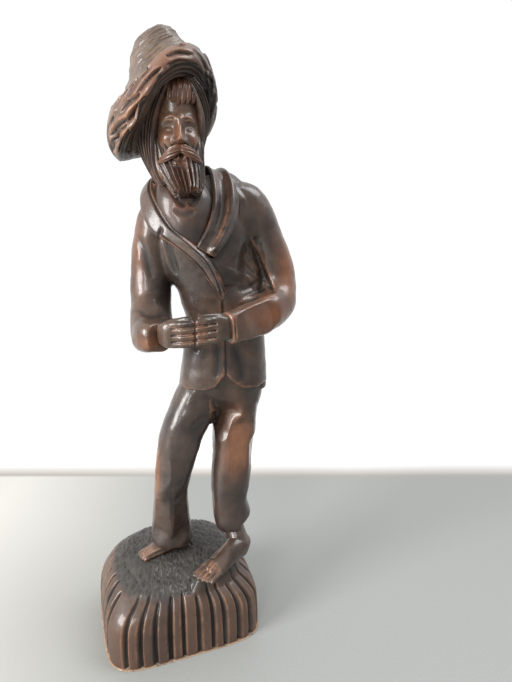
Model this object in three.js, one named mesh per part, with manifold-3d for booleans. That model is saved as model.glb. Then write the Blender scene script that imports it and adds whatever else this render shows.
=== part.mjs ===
// A carved wooden figurine: an old bearded man in a slouch hat, jacket and trousers, standing
// barefoot on a fluted rock with his fingertips together at the waist.
// Sizes are in millimetres. +Z is up and the figure faces -Y. The origin is the middle of the
// rock's underside, so +X is the side of the figure's own left hand.
import * as THREE from "three";
import { mergeVertices } from "three/addons/utils/BufferGeometryUtils.js";
import Module from "manifold-3d";

const wasm = await Module();
wasm.setup();

// Driving sizes ---------------------------------------------------------------------------

const jointGap = 0.3; // clear space left where two carved members meet

const rock = {
  width: 97,
  depth: 80,
  height: 54,
  turn: THREE.MathUtils.degToRad(10.7), // how far the block stands askew under the figure
  flutes: 30,
  fluteDepth: 2.4,
  fall: 0.2, // how much the top drops towards the front, per millimetre
  squareness: 5, // 2 is an ellipse and more is nearer a rectangle
};

// Half widths and half depths of the round members, and the lengths between their levels.
const leg = { rise: 112, thigh: 16, thighDepth: 17, knee: 12, kneeDepth: 13, cuff: 13.5, bend: 9 };
const foot = { half: 8, height: 9, sink: 3 };
const jacket = { skirt: 50, chest: 40, slope: 36, hem: 28.5, waist: 25.5, breast: 32, halfDepth: 20 };
const sleeve = { upper: 50, shoulder: 13.5, elbow: 12.5, cuff: 8.6, wristHigh: 7.8 };
const hand = { halfHeight: 8.2, halfThickness: 4.6, length: 18 };
const collar = { half: 6, halfThickness: 2.8 };
const neck = { half: 13, rise: 12 };
const head = { half: 13.5, halfDepth: 17, height: 62 };
const hair = { side: 2.1, back: 2 }; // how thick it lies on the head
const hat = { brim: 31.5, brimDepth: 31, rise: 45, top: 9.5, tip: 0.17, tilt: 0.66, droop: 9 };

// How far the body sways sideways over the middle of the rock, from the feet to the hat's top.
const sway = { feet: 18, hips: 34, waist: 35.5, chest: 25, shoulders: 21, neck: 9, head: 8.5, hatTop: -1 };

// Levels, each from the one below it.
const rockTop = rock.height;
const hemLevel = rockTop + leg.rise;
const waistLevel = hemLevel + jacket.skirt;
const chestLevel = waistLevel + jacket.chest;
const neckLevel = chestLevel + jacket.slope;
const shoulderLevel = neckLevel - 16;
const elbowLevel = shoulderLevel - sleeve.upper;
const handLevel = elbowLevel - 18;
const chinLevel = neckLevel - 4; // the jaw stands in front of the top of the neck
const headLevel = chinLevel + head.height / 2;
const hatLevel = chinLevel + head.height * 0.67; // the middle of the brim, down on the hair

// Tools -----------------------------------------------------------------------------------

// The reach of a superellipse of half size 1 in one direction: a circle when power is 2.
const squaredReach = (turn, power) =>
  (Math.abs(Math.cos(turn)) ** power + Math.abs(Math.sin(turn)) ** power) ** (-1 / power);

// A section's place is measured from the member's own reference point.
const from = ([x, y, z], sections) =>
  sections.map((s) => ({ ...s, at: [x + s.at[0], y + s.at[1], z + s.at[2]] }));

// Rounded sections carried along a smooth curve, with a flat cap at each end. A section has
// its place, its half sizes, its squareness, how much it falls to the front, how much it tips
// up to the figure's left, and how far its two sides droop.
function loft(sections, { around = 20, along = 10, grow = 0, press = () => 1 } = {}) {
  const curve = (pick) =>
    new THREE.CatmullRomCurve3(sections.map(pick), false, "catmullrom", 0.5);
  const spine = curve((s) => new THREE.Vector3(...s.at));
  const sizes = curve((s) => new THREE.Vector3(s.wide, s.deep, s.power ?? 2));
  const sides = curve((s) => new THREE.Vector3(...(s.side ?? [1, 0, 0])));
  const slants = curve((s) => new THREE.Vector3(s.fall ?? 0, s.tip ?? 0, s.droop ?? 0));
  const shape = new THREE.SphereGeometry(1, around, along + 2);
  const place = shape.getAttribute("position");
  const uv = shape.getAttribute("uv");
  for (let i = 0; i < place.count; i++) {
    const row = Math.round((1 - uv.getY(i)) * (along + 2));
    const share = THREE.MathUtils.clamp((row - 1) / along, 0, 1);
    const turn = (uv.getX(i) % 1) * 2 * Math.PI; // the seam's two edges are one
    const capCentre = row === 0 || row === along + 2;
    const tangent = spine.getTangent(share);
    const side = sides.getPoint(share);
    const across = side.addScaledVector(tangent, -side.dot(tangent)).normalize();
    const through = new THREE.Vector3().crossVectors(across, tangent);
    const size = sizes.getPoint(share);
    const slant = slants.getPoint(share);
    const reach = capCentre ? 0 : press(turn, share) * squaredReach(turn, size.z);
    const u = Math.cos(turn) * (size.x + grow) * reach;
    const v = Math.sin(turn) * (size.y + grow) * reach;
    const point = spine.getPoint(share);
    if (share === 0) point.addScaledVector(tangent, -grow);
    if (share === 1) point.addScaledVector(tangent, grow);
    point.addScaledVector(across, u).addScaledVector(through, v);
    point.z += slant.y * u - slant.x * v - slant.z * (u / size.x) ** 2;
    place.setXYZ(i, point.x, point.y, point.z);
  }
  return shape;
}

function solid(geometry) {
  const bare = geometry.index ? geometry.toNonIndexed() : geometry.clone();
  bare.deleteAttribute("normal");
  bare.deleteAttribute("uv");
  const merged = mergeVertices(bare, 1e-3);
  return new wasm.Manifold(
    new wasm.Mesh({
      numProp: 3,
      vertProperties: merged.getAttribute("position").array,
      triVerts: new Uint32Array(merged.index.array),
    }),
  );
}

function geometryOf(piece) {
  const mesh = piece.getMesh();
  const geometry = new THREE.BufferGeometry();
  geometry.setAttribute("position", new THREE.BufferAttribute(mesh.vertProperties, 3));
  geometry.setIndex(new THREE.BufferAttribute(mesh.triVerts, 1));
  geometry.computeVertexNormals();
  return geometry;
}

// A member knows its own form and the room it needs: that form grown by the joint gap.
function member(form) {
  const whole = solid(form(0));
  return { whole, room: whole.add(solid(form(jointGap))) };
}
const joined = (...members) => ({
  whole: members.map((m) => m.whole).reduce((a, b) => a.add(b)),
  room: members.map((m) => m.room).reduce((a, b) => a.add(b)),
});
const largest = (piece) =>
  piece.decompose().reduce((a, b) => (a.volume() > b.volume() ? a : b));

// Members ---------------------------------------------------------------------------------

// The rock: a rounded block with a bulging side, flutes all round and a top that falls forward.
function rockForm(grow) {
  const section = (height, share, fall = 0, power = rock.squareness) => ({
    at: [0, 0, height * rock.height],
    wide: (rock.width / 2) * share,
    deep: (rock.depth / 2) * share,
    power,
    fall,
  });
  const fluted = (turn, share) => {
    const groove = 1 - Math.abs(Math.sin((turn * rock.flutes) / 2)) ** 0.6;
    const depth = share > 0.85 ? 0 : rock.fluteDepth;
    return 1 - (groove * depth) / (rock.depth / 2);
  };
  const sections = [
    section(0, 0.98),
    section(0.2, 1.03),
    section(0.42, 1.03),
    section(0.64, 0.97, rock.fall * 0.3),
    section(0.82, 0.86, rock.fall * 0.8),
    section(0.94, 0.74, rock.fall, 3.4),
    section(1, 0.5, rock.fall, 2.6),
  ];
  const form = loft(sections, { around: rock.flutes * 2, along: 8, grow, press: fluted });
  return form.rotateZ(rock.turn);
}

// The leg on the figure's right, bent, with its hem flared over the foot.
function rightTrouserForm(grow) {
  const { thigh, thighDepth, knee, kneeDepth, cuff, bend } = leg;
  const kneeLevel = leg.rise * 0.52;
  const sections = [
    { at: [sway.hips - 10, 3, leg.rise + 8], wide: thigh - 4, deep: thighDepth, power: 2.3 },
    { at: [sway.hips - 17, -1, leg.rise - 8], wide: thigh - 1.5, deep: thighDepth, power: 2.3 },
    { at: [sway.feet - 11, -bend * 0.7, leg.rise * 0.77], wide: thigh - 2.5, deep: thighDepth - 1 },
    { at: [sway.feet - 17, -bend, kneeLevel + 6], wide: knee, deep: kneeDepth },
    { at: [sway.feet - 20, -bend * 0.8, kneeLevel - 12], wide: knee - 1, deep: kneeDepth - 0.5 },
    { at: [sway.feet - 20.5, -bend * 0.3, leg.rise * 0.24], wide: knee - 0.3, deep: kneeDepth },
    { at: [sway.feet - 19.5, 1, 5], wide: cuff, deep: cuff + 0.5 },
  ];
  return loft(from([0, 0, rockTop], sections), { along: 13, grow });
}

// The straight leg on the figure's left, with a turned-up hem.
function leftTrouserForm(grow) {
  const { thigh, thighDepth, knee, kneeDepth } = leg;
  const sections = [
    { at: [sway.hips + 10, 3, leg.rise + 14], wide: thigh, deep: thighDepth, power: 2.4 },
    { at: [sway.hips + 7.5, 1, leg.rise - 10], wide: thigh - 0.5, deep: thighDepth, power: 2.4 },
    { at: [sway.hips + 6, -2, leg.rise * 0.65], wide: knee + 1.5, deep: kneeDepth + 1.5 },
    { at: [sway.feet + 19.5, -6, leg.rise * 0.45], wide: knee + 1, deep: kneeDepth + 0.5 },
    { at: [sway.feet + 18, -7, leg.rise * 0.32], wide: knee, deep: kneeDepth - 0.5 },
    { at: [sway.feet + 18.5, -6, leg.rise * 0.17], wide: knee, deep: kneeDepth, power: 2.3 },
  ];
  return loft(from([0, 0, rockTop], sections), { along: 12, grow });
}

// A bare foot: a heel, an instep and a broad row of toes, with the shin that stands on it.
function footForms(ankle, heel, toes, scale) {
  const between = (a, b, t) => a.map((x, i) => x + (b[i] - x) * t);
  const side = [toes[1] - heel[1], heel[0] - toes[0], 0];
  const section = (at, wide, deep, power = 2.3) => ({ at, wide, deep, power, side });
  const half = foot.half * scale;
  const sole = [
    section(between(heel, toes, -0.12), half * 0.4, foot.height * 0.3),
    section(between(heel, toes, 0), half * 0.76, foot.height * 0.52),
    section(between(heel, toes, 0.4), half * 0.76, foot.height * 0.6),
    section(between(heel, toes, 0.75), half, foot.height * 0.42),
    section(between(heel, toes, 1), half * 0.95, foot.height * 0.3, 3),
  ];
  const shin = [
    section(ankle, half * 0.82, half * 0.9),
    section(between(ankle, between(heel, toes, 0.16), 0.55), half * 0.8, half * 0.9),
    section(between(heel, toes, 0.2), half * 0.72, foot.height * 0.8),
  ];
  return joined(
    member((grow) => loft(sole, { around: 16, along: 8, grow })),
    member((grow) => loft(shin, { around: 16, along: 5, grow })),
  );
}

function jacketForm(grow) {
  const { hem, waist, breast, halfDepth } = jacket;
  const sections = [
    { at: [sway.hips, 1, hemLevel], wide: hem, deep: halfDepth + 2, power: 2.6 },
    { at: [sway.hips + 1.5, 1, hemLevel + jacket.skirt * 0.4], wide: hem - 1.5, deep: halfDepth },
    { at: [sway.waist, 2, waistLevel], wide: waist, deep: halfDepth - 1.5, power: 2.5 },
    { at: [sway.waist - 3, 3, waistLevel + jacket.chest * 0.5], wide: waist + 2.5, deep: halfDepth },
    { at: [sway.chest, 4, chestLevel], wide: breast, deep: halfDepth, power: 2.5 },
    { at: [sway.shoulders + 1, 5, chestLevel + jacket.slope * 0.55], wide: breast, deep: halfDepth - 3 },
    { at: [sway.shoulders + 4, 6, neckLevel - 5], wide: breast * 0.82, deep: halfDepth - 7 },
    { at: [sway.shoulders, 8, neckLevel + 4], wide: breast * 0.45, deep: halfDepth - 11 },
  ];
  return loft(sections, { around: 28, along: 14, grow });
}

// The place where the fingertips meet, and the two wrists behind it.
const meeting = [sway.head + 5.5, -41, handLevel];
const rightWrist = [meeting[0] - hand.length, meeting[1] + 8, handLevel - 2];
const leftWrist = [meeting[0] + hand.length + 2, meeting[1] + 5, handLevel + 2];

// The sleeve on the figure's right hangs straight down and then comes forward.
function rightSleeveForm(grow) {
  const { shoulder, elbow, cuff, wristHigh } = sleeve;
  const x = sway.shoulders;
  const [wristX, wristY, wristZ] = rightWrist;
  const sections = [
    { at: [x - 21, 6, shoulderLevel + 4], wide: shoulder * 0.7, deep: shoulder },
    { at: [x - 27, 6, shoulderLevel - 9], wide: shoulder - 1, deep: shoulder + 1 },
    { at: [x - 29.5, 6, shoulderLevel - 24], wide: shoulder - 1, deep: shoulder + 0.5 },
    { at: [x - 30.5, 5, elbowLevel + 8], wide: elbow, deep: elbow },
    { at: [x - 30.5, -1, elbowLevel - 9], wide: elbow - 0.3, deep: elbow },
    { at: [(x - 31 + wristX) / 2, -14, wristZ + 1], wide: elbow - 1, deep: elbow - 2 },
    { at: [wristX - 2, wristY + 2, wristZ], wide: cuff, deep: wristHigh + 1 },
  ];
  return loft(sections, { around: 18, along: 13, grow });
}

// The sleeve on the figure's left stands out from the body and then comes across to the waist.
function leftSleeveForm(grow) {
  const { shoulder, elbow, cuff, wristHigh } = sleeve;
  const x = sway.shoulders;
  const [wristX, wristY, wristZ] = leftWrist;
  const sections = [
    { at: [x + 23, 6, shoulderLevel + 11], wide: shoulder * 0.75, deep: shoulder },
    { at: [x + 36, 6, shoulderLevel + 2], wide: shoulder - 0.5, deep: shoulder + 1 },
    { at: [x + 43.5, 6, shoulderLevel - 19], wide: shoulder - 1, deep: shoulder + 0.5 },
    { at: [x + 48, 4, elbowLevel + 9], wide: elbow + 1, deep: elbow + 0.5 },
    { at: [x + 47, -5, elbowLevel - 6], wide: elbow, deep: elbow, side: [1, -0.6, 0] },
    { at: [x + 35, -21, handLevel + 8], wide: cuff + 1, deep: elbow - 1, side: [0.5, -1, 0] },
    { at: [wristX + 2, wristY + 2, wristZ], wide: cuff - 2, deep: wristHigh, side: [0.5, -1, 0] },
  ];
  return loft(sections, { around: 18, along: 13, grow });
}

// A flat hand with its fingers closed, from the wrist to the fingertips.
function handForm(wrist, tips) {
  const middle = wrist.map((x, i) => (x + tips[i]) / 2);
  const side = [wrist[1] - tips[1], tips[0] - wrist[0], 0];
  const { halfHeight, halfThickness } = hand;
  const sections = [
    { at: wrist, wide: halfThickness, deep: halfHeight * 0.8, side },
    { at: middle, wide: halfThickness + 0.6, deep: halfHeight, power: 2.6, side },
    { at: tips, wide: halfThickness - 1, deep: halfHeight * 0.9, power: 2.6, side },
  ];
  return (grow) => loft(sections, { around: 16, along: 6, grow });
}

// The bare chest and shirt seen between the lapels.
function shirtForm(grow) {
  const sections = [
    { at: [sway.shoulders, -13, chestLevel - 3], wide: 3, deep: 4 },
    { at: [sway.neck + 5, -12, chestLevel + 9], wide: 11, deep: 7, power: 2.3 },
    { at: [sway.neck + 3, -6, chestLevel + 24], wide: 17, deep: 9, power: 2.3 },
    { at: [sway.neck + 2, 2, neckLevel - 2], wide: 15, deep: 9 },
  ];
  return loft(sections, { around: 18, along: 7, grow });
}

function neckForm(grow) {
  const { half, rise } = neck;
  const sections = [
    { at: [sway.neck + 1, 4, neckLevel - 16], wide: half + 2, deep: half },
    { at: [sway.neck, 2, neckLevel], wide: half, deep: half },
    { at: [sway.head, 0, neckLevel + rise], wide: half, deep: half },
  ];
  return loft(sections, { around: 18, along: 4, grow });
}

// The rolled collar: a lapel down each side of the open front, the right one over the left.
function leftLapelForm(grow) {
  const { half, halfThickness } = collar;
  const sections = [
    { at: [2, 17, 5], wide: halfThickness, deep: half - 1, side: [0, 1, 0] },
    { at: [18, 13, 5], wide: halfThickness, deep: half, side: [0.8, 0.7, 0.5] },
    { at: [30, 2, -1], wide: halfThickness, deep: half + 1, side: [0.9, 0, 0.8] },
    { at: [30, -10, -13], wide: halfThickness, deep: half + 1, side: [0.8, -1, 0.6] },
    { at: [23, -16.5, -29], wide: halfThickness, deep: half, side: [0.4, -1, 0.3] },
    { at: [13, -18.5, -45], wide: halfThickness - 1, deep: half * 0.5, side: [0.2, -1, 0] },
  ];
  return loft(from([sway.neck, 0, neckLevel], sections), { around: 14, along: 12, grow });
}

function rightLapelForm(grow) {
  const { half, halfThickness } = collar;
  const sections = [
    { at: [-2, 17, 4], wide: halfThickness, deep: half - 1, side: [0, 1, 0] },
    { at: [-11, 12, -2], wide: halfThickness, deep: half, side: [-0.8, 0.7, 0.5] },
    { at: [-17, 1, -14], wide: halfThickness, deep: half + 1, side: [-0.9, 0, 0.6] },
    { at: [-13, -10, -25], wide: halfThickness, deep: half + 1.5, side: [-0.8, -1, 0.5] },
    { at: [-2, -16.5, -37], wide: halfThickness, deep: half + 1, side: [-0.3, -1, 0.3] },
    { at: [10, -18.5, -52], wide: halfThickness, deep: half - 1, side: [-0.1, -1, 0] },
    { at: [20, -18.5, -72], wide: halfThickness - 1, deep: half * 0.4, side: [0, -1, 0] },
  ];
  return loft(from([sway.neck, 0, neckLevel], sections), { around: 14, along: 14, grow });
}

const face = [sway.head, -6, headLevel]; // the middle of the head

function headForms() {
  const { half, halfDepth } = head;
  const top = head.height / 2;
  const skull = [
    { at: [1.5, -3, -top], wide: half * 0.45, deep: halfDepth * 0.4 },
    { at: [1, -2, -top * 0.7], wide: half * 0.78, deep: halfDepth * 0.8 },
    { at: [0.5, -1, -top * 0.2], wide: half, deep: halfDepth, power: 2.2 },
    { at: [0, 0, top * 0.3], wide: half + 0.5, deep: halfDepth + 0.5, power: 2.1 },
    { at: [-0.5, 1, top * 0.75], wide: half * 0.92, deep: halfDepth * 0.94 },
    { at: [-0.5, 1, top], wide: half * 0.4, deep: halfDepth * 0.4 },
  ];
  const nose = [
    { at: [0.4, 1, 5], wide: 1.6, deep: 2 },
    { at: [0.6, -1.2, -1], wide: 2.1, deep: 2.6 },
    { at: [0.8, -2.2, -5.5], wide: 3, deep: 3 },
    { at: [0.8, 0, -7.5], wide: 2.1, deep: 1.8 },
  ];
  const front = [face[0], face[1] - halfDepth, face[2]];
  return joined(
    member((grow) => loft(from(face, skull), { grow })),
    member((grow) => loft(from(front, nose), { around: 12, along: 5, grow })),
  );
}

// Long hair down the back and sides of the head.
function hairForm(grow) {
  const half = head.half + hair.side;
  const halfDepth = head.halfDepth + hair.back;
  const sections = [
    { at: [1, 8, -head.height * 0.42], wide: half * 0.8, deep: halfDepth * 0.6 },
    { at: [0, 7, -head.height * 0.26], wide: half * 0.95, deep: halfDepth * 0.85, power: 2.3 },
    { at: [-0.5, 6, 0], wide: half, deep: halfDepth, power: 2.3 },
    { at: [-1, 5, head.height * 0.24], wide: half, deep: halfDepth, power: 2.2 },
    { at: [-1, 5, head.height * 0.42], wide: half * 0.9, deep: halfDepth * 0.9 },
  ];
  return loft(from(face, sections), { along: 9, grow });
}

// The cropped fringe over the brow.
function fringeForm(grow) {
  const { half, halfDepth, height } = head;
  const side = [0, 0.2, 1];
  const sections = [
    { at: [-half + 2, 9, -2], wide: 7, deep: 2.4, side },
    { at: [-half * 0.5, 1, 0], wide: 6.5, deep: 2.6, side },
    { at: [0.5, -1, 0], wide: 6.5, deep: 2.6, side },
    { at: [half * 0.6, 1, 0], wide: 6.5, deep: 2.6, side },
    { at: [half - 1, 9, -2], wide: 7, deep: 2.4, side },
  ];
  const brow = [face[0], face[1] - halfDepth, headLevel + height * 0.36];
  return loft(from(brow, sections), { around: 12, along: 10, grow });
}

function beardForm(grow) {
  const { half, halfDepth } = head;
  const sections = [
    { at: [3, -15, 0], wide: half * 0.36, deep: halfDepth * 0.22 },
    { at: [2.5, -13, 5], wide: half * 0.66, deep: halfDepth * 0.46 },
    { at: [1.5, -11, 12], wide: half * 0.96, deep: halfDepth * 0.68, power: 2.2 },
    { at: [0.5, -9, 20], wide: half + 0.9, deep: halfDepth * 0.78, power: 2.3 },
    { at: [0, -8, 26], wide: half + 1, deep: halfDepth * 0.6 },
  ];
  return loft(from([face[0], face[1] + 4, chinLevel - 1.5], sections), { along: 8, grow });
}

function moustacheForm(grow) {
  const side = [0, 0, 1];
  const tip = head.half * 0.75;
  const sections = [
    { at: [-tip, 4, -4], wide: 1.6, deep: 2, side },
    { at: [-tip * 0.45, -0.6, -0.5], wide: 2.8, deep: 2.8, side },
    { at: [0, -1.8, 0.3], wide: 2.3, deep: 2.8, side },
    { at: [tip * 0.45, -0.6, -0.5], wide: 2.8, deep: 2.8, side },
    { at: [tip, 4, -4], wide: 1.6, deep: 2, side },
  ];
  const lip = [face[0] + 1, face[1] - head.halfDepth, headLevel - 10];
  return loft(from(lip, sections), { around: 12, along: 10, grow });
}

// The slouch hat: its brim is up at the front and low at the sides, and its crown leans back.
function hatForm(grow) {
  const { brim, brimDepth, rise, tip, tilt, droop } = hat;
  const section = (x, height, wide, deep, slant) => ({
    at: [x, 6, height * rise],
    wide: wide * brim,
    deep: deep * brimDepth,
    tip: tip * slant,
    fall: -tilt * slant,
    droop: droop * slant,
  });
  const sections = [
    section(-7, -0.16, 0.5, 0.55, 0.5),
    section(-7, -0.07, 0.92, 0.93, 1),
    section(-7, 0.08, 1, 1, 1),
    section(-4.5, 0.34, 0.88, 0.9, 0.75),
    section(-3, 0.64, 0.72, 0.74, 0.45),
    section(-4.5, 0.84, 0.5, 0.54, 0.2),
    { ...section(0, 1, 0, 0, 0), wide: hat.top, deep: hat.top + 1 },
  ];
  sections[sections.length - 1].at[0] = sway.hatTop - sway.head;
  return loft(from([sway.head, face[1], hatLevel], sections), { around: 28, along: 12, grow });
}

// Assembly --------------------------------------------------------------------------------

const stain = { dark: "#3a2a22", mid: "#4d382c", warm: "#6b4630", grey: "#6f6258" };
const finish = { polished: 0.35, waxed: 0.45, punched: 0.65 };

const soleLevel = rockTop - foot.sink;
const rightFoot = footForms(
  [sway.feet - 18, 2, rockTop + 10],
  [sway.feet - 10, 1, soleLevel + 3],
  [sway.feet - 37, -7, soleLevel + 1],
  0.9,
);
const leftFoot = footForms(
  [sway.feet + 20, -8, rockTop + leg.rise * 0.22],
  [sway.feet + 23, -18, soleLevel + 7],
  [sway.feet + 1, -31, soleLevel - 1],
  1,
);

// In carving order: each member keeps what the ones before it leave.
const members = [
  ["head", headForms(), stain.warm, finish.polished],
  ["moustache", member(moustacheForm), stain.warm, finish.waxed],
  ["fringe", member(fringeForm), stain.mid, finish.waxed],
  ["beard", member(beardForm), stain.warm, finish.waxed],
  ["right_lapel", member(rightLapelForm), stain.mid, finish.waxed],
  ["left_lapel", member(leftLapelForm), stain.mid, finish.waxed],
  ["neck", member(neckForm), stain.mid, finish.polished],
  ["shirt_front", member(shirtForm), stain.mid, finish.waxed],
  ["right_hand", member(handForm(rightWrist, meeting)), stain.warm, finish.polished],
  ["left_hand", member(handForm(leftWrist, meeting)), stain.warm, finish.polished],
  ["right_sleeve", member(rightSleeveForm), stain.dark, finish.waxed],
  ["left_sleeve", member(leftSleeveForm), stain.warm, finish.waxed],
  ["hair", member(hairForm), stain.dark, finish.waxed],
  ["hat", member(hatForm), stain.grey, finish.punched],
  ["jacket_body", member(jacketForm), stain.dark, finish.waxed],
  ["right_trouser_leg", member(rightTrouserForm), stain.dark, finish.waxed],
  ["left_trouser_leg", member(leftTrouserForm), stain.warm, finish.waxed],
  ["right_foot", rightFoot, stain.warm, finish.polished],
  ["left_foot", leftFoot, stain.warm, finish.polished],
  ["rock_plinth", member(rockForm), stain.mid, finish.punched],
];

const figure = new THREE.Group();
members.forEach(([name, piece, color, roughness], order) => {
  const earlier = members.slice(0, order).map(([, other]) => other.room);
  const left = earlier.reduce((rest, room) => rest.subtract(room), piece.whole);
  const material = new THREE.MeshStandardMaterial({ color, roughness, metalness: 0 });
  const mesh = new THREE.Mesh(geometryOf(largest(left)), material);
  mesh.name = name;
  figure.add(mesh);
});

export default figure;
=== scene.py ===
# The carved wooden figurine: a stained and worn hardwood carving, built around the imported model.
# Shapes are worked out in millimetres in the model's own frame, and turned into metres as each mesh is made.
import math

import bpy
import numpy as np
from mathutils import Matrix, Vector


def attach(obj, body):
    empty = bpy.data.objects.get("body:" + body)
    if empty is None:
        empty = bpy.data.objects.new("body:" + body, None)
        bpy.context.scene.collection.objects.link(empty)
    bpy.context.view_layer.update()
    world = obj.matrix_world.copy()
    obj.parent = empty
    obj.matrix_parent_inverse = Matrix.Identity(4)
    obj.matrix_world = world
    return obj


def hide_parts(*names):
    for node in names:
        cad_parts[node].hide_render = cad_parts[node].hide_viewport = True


mm = 0.001
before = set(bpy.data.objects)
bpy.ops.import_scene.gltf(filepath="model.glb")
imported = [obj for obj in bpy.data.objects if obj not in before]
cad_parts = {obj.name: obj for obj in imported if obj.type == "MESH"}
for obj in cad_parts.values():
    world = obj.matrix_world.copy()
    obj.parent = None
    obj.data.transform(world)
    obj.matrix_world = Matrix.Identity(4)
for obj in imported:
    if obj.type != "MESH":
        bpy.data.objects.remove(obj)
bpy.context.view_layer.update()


def ramp(x, start, end):
    # rises smoothly from 0 to 1: 3 t^2 - 2 t^3
    t = np.clip((x - start) / (end - start), 0, 1)
    return t * t * (3 - 2 * t)


def bell(x, at, width):
    return np.exp(-(((x - at) / width) ** 2))


def superellipse(turn, power):
    # the reach of a rounded square of half width 1 in every direction: (|cos|^n + |sin|^n)^(-1/n)
    return (np.abs(np.cos(turn)) ** power + np.abs(np.sin(turn)) ** power) ** (-1 / power)


def cubic(a, b, c, d, f):
    # Catmull-Rom: from b to c runs the cubic whose end slopes are half the chord of their neighbours
    return 0.5 * (2 * b + (c - a) * f + (2 * a - 5 * b + 4 * c - d) * f**2 + (3 * b - a - 3 * c + d) * f**3)


def curveThrough(points, count):
    # a smooth curve through the points, read at even shares of their number
    p = np.asarray(points, float)
    p = np.vstack([2 * p[0] - p[1], p, 2 * p[-1] - p[-2]])
    t = np.linspace(0, len(p) - 3, count)
    i = np.minimum(t.astype(int), len(p) - 4)
    return cubic(p[i], p[i + 1], p[i + 2], p[i + 3], (t - i)[:, None])


def unit(v):
    return v / np.maximum(np.linalg.norm(v, axis=-1, keepdims=True), 1e-9)


def loft(rows, around=96, along=96, side=(1, 0, 0), relief=None):
    # superellipses carried along a smooth path: a row is x, y, z, half width, half depth, squareness, then
    # the direction of its width if it isn't the piece's own side
    rows = [list(r) + [2] * (6 - len(r)) + list(side) * (len(r) <= 6) for r in rows]
    s = curveThrough(rows, along)
    spine, size, power = s[:, None, :3], s[:, None, 3:5], s[:, None, 5]
    tangent = unit(np.gradient(s[:, :3], axis=0))[:, None]
    across = s[:, None, 6:9]
    across = unit(across - (across * tangent).sum(-1, keepdims=True) * tangent)
    through = np.cross(across, tangent)
    turn = np.linspace(0, 2 * np.pi, around, endpoint=False)[None]
    reach = superellipse(turn, power)
    if relief is not None:
        reach = reach * relief(turn, np.linspace(0, 1, along)[:, None])
    u = (np.cos(turn) * reach * size[..., 0])[..., None]
    v = (np.sin(turn) * reach * size[..., 1])[..., None]
    return spine + across * u + through * v


def gridFaces(rows, columns):
    # quads between neighbouring rows of a closed ring, and a fan of triangles on a point at each end
    k = np.arange(columns)
    n = (k + 1) % columns
    r = np.arange(rows - 1)[:, None] * columns
    quads = np.stack([r + k, r + n, r + columns + n, r + columns + k], -1).reshape(-1, 4)
    low, high = rows * columns, rows * columns + 1
    top = (rows - 1) * columns
    lowFan = np.stack([np.full(columns, low), n, k], -1)
    highFan = np.stack([np.full(columns, high), top + k, top + n], -1)
    return quads, np.vstack([lowFan, highFan])


def meshFrom(name, points, quads, triangles=None):
    mesh = bpy.data.meshes.new(name)
    triangles = np.zeros((0, 3), int) if triangles is None else triangles
    mesh.vertices.add(len(points))
    mesh.vertices.foreach_set("co", (points * mm).astype(np.float32).ravel())
    corners = np.concatenate([quads.ravel(), triangles.ravel()]).astype(np.int32)
    mesh.loops.add(len(corners))
    mesh.loops.foreach_set("vertex_index", corners)
    mesh.polygons.add(len(quads) + len(triangles))
    starts = np.concatenate([np.arange(len(quads)) * 4, len(quads) * 4 + np.arange(len(triangles)) * 3])
    mesh.polygons.foreach_set("loop_start", starts.astype(np.int32))
    mesh.update(calc_edges=True)
    mesh.validate()
    mesh.polygons.foreach_set("use_smooth", np.ones(len(mesh.polygons), bool))
    obj = bpy.data.objects.new(name, mesh)
    bpy.context.scene.collection.objects.link(obj)
    return obj


def closedGrid(name, grid):
    # a grid closed around its columns and capped at both ends, with its faces turned outwards
    rows, columns = grid.shape[:2]
    points = np.vstack([grid.reshape(-1, 3), grid[0].mean(0), grid[-1].mean(0)])
    quads, fans = gridFaces(rows, columns)
    a, b, c = points[quads[:, 0]], points[quads[:, 1]], points[quads[:, 2]]
    if (a * np.cross(b, c)).sum() + (a * np.cross(c, points[quads[:, 3]])).sum() < 0:
        quads, fans = quads[:, ::-1], fans[:, ::-1]
    return meshFrom(name, points, quads, fans)


def pointsOf(obj):
    co = np.zeros(len(obj.data.vertices) * 3, np.float32)
    obj.data.vertices.foreach_get("co", co)
    return co.reshape(-1, 3).astype(float) / mm


def normalsOf(obj):
    no = np.zeros(len(obj.data.vertices) * 3, np.float32)
    obj.data.vertices.foreach_get("normal", no)
    return no.reshape(-1, 3).astype(float)


def setPoints(obj, points):
    obj.data.vertices.foreach_set("co", (points * mm).astype(np.float32).ravel())
    obj.data.update()


def edgesOf(obj):
    e = np.zeros(len(obj.data.edges) * 2, np.int32)
    obj.data.edges.foreach_get("vertices", e)
    return e.reshape(-1, 2)


def relaxed(points, edges, steps, share=0.5):
    # each step moves every point towards the mean of its neighbours
    n = len(points)
    a, b = edges[:, 0], edges[:, 1]
    degree = np.maximum(np.bincount(a, minlength=n) + np.bincount(b, minlength=n), 1)[:, None]
    for _ in range(steps):
        total = np.stack([np.bincount(a, points[b, k], n) + np.bincount(b, points[a, k], n)
                          for k in range(points.shape[1])], -1)
        points = points + share * (total / degree - points)
    return points


def fused(name, pieces, voxel, soften=6):
    # overlapping closed pieces become one skin of even squares
    data = pieces[0]
    with bpy.context.temp_override(active_object=data, selected_editable_objects=pieces,
                                   selected_objects=pieces):
        bpy.ops.object.join()
    change = data.modifiers.new("Remesh", "REMESH")
    change.mode = "VOXEL"
    change.voxel_size = voxel * mm
    change.use_smooth_shade = True
    bpy.context.view_layer.update()
    done = data.evaluated_get(bpy.context.evaluated_depsgraph_get())
    mesh = bpy.data.meshes.new_from_object(done)
    obj = bpy.data.objects.new(name, mesh)
    bpy.context.scene.collection.objects.link(obj)
    bpy.data.objects.remove(data)
    setPoints(obj, relaxed(pointsOf(obj), edgesOf(obj), soften))
    return obj


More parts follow.
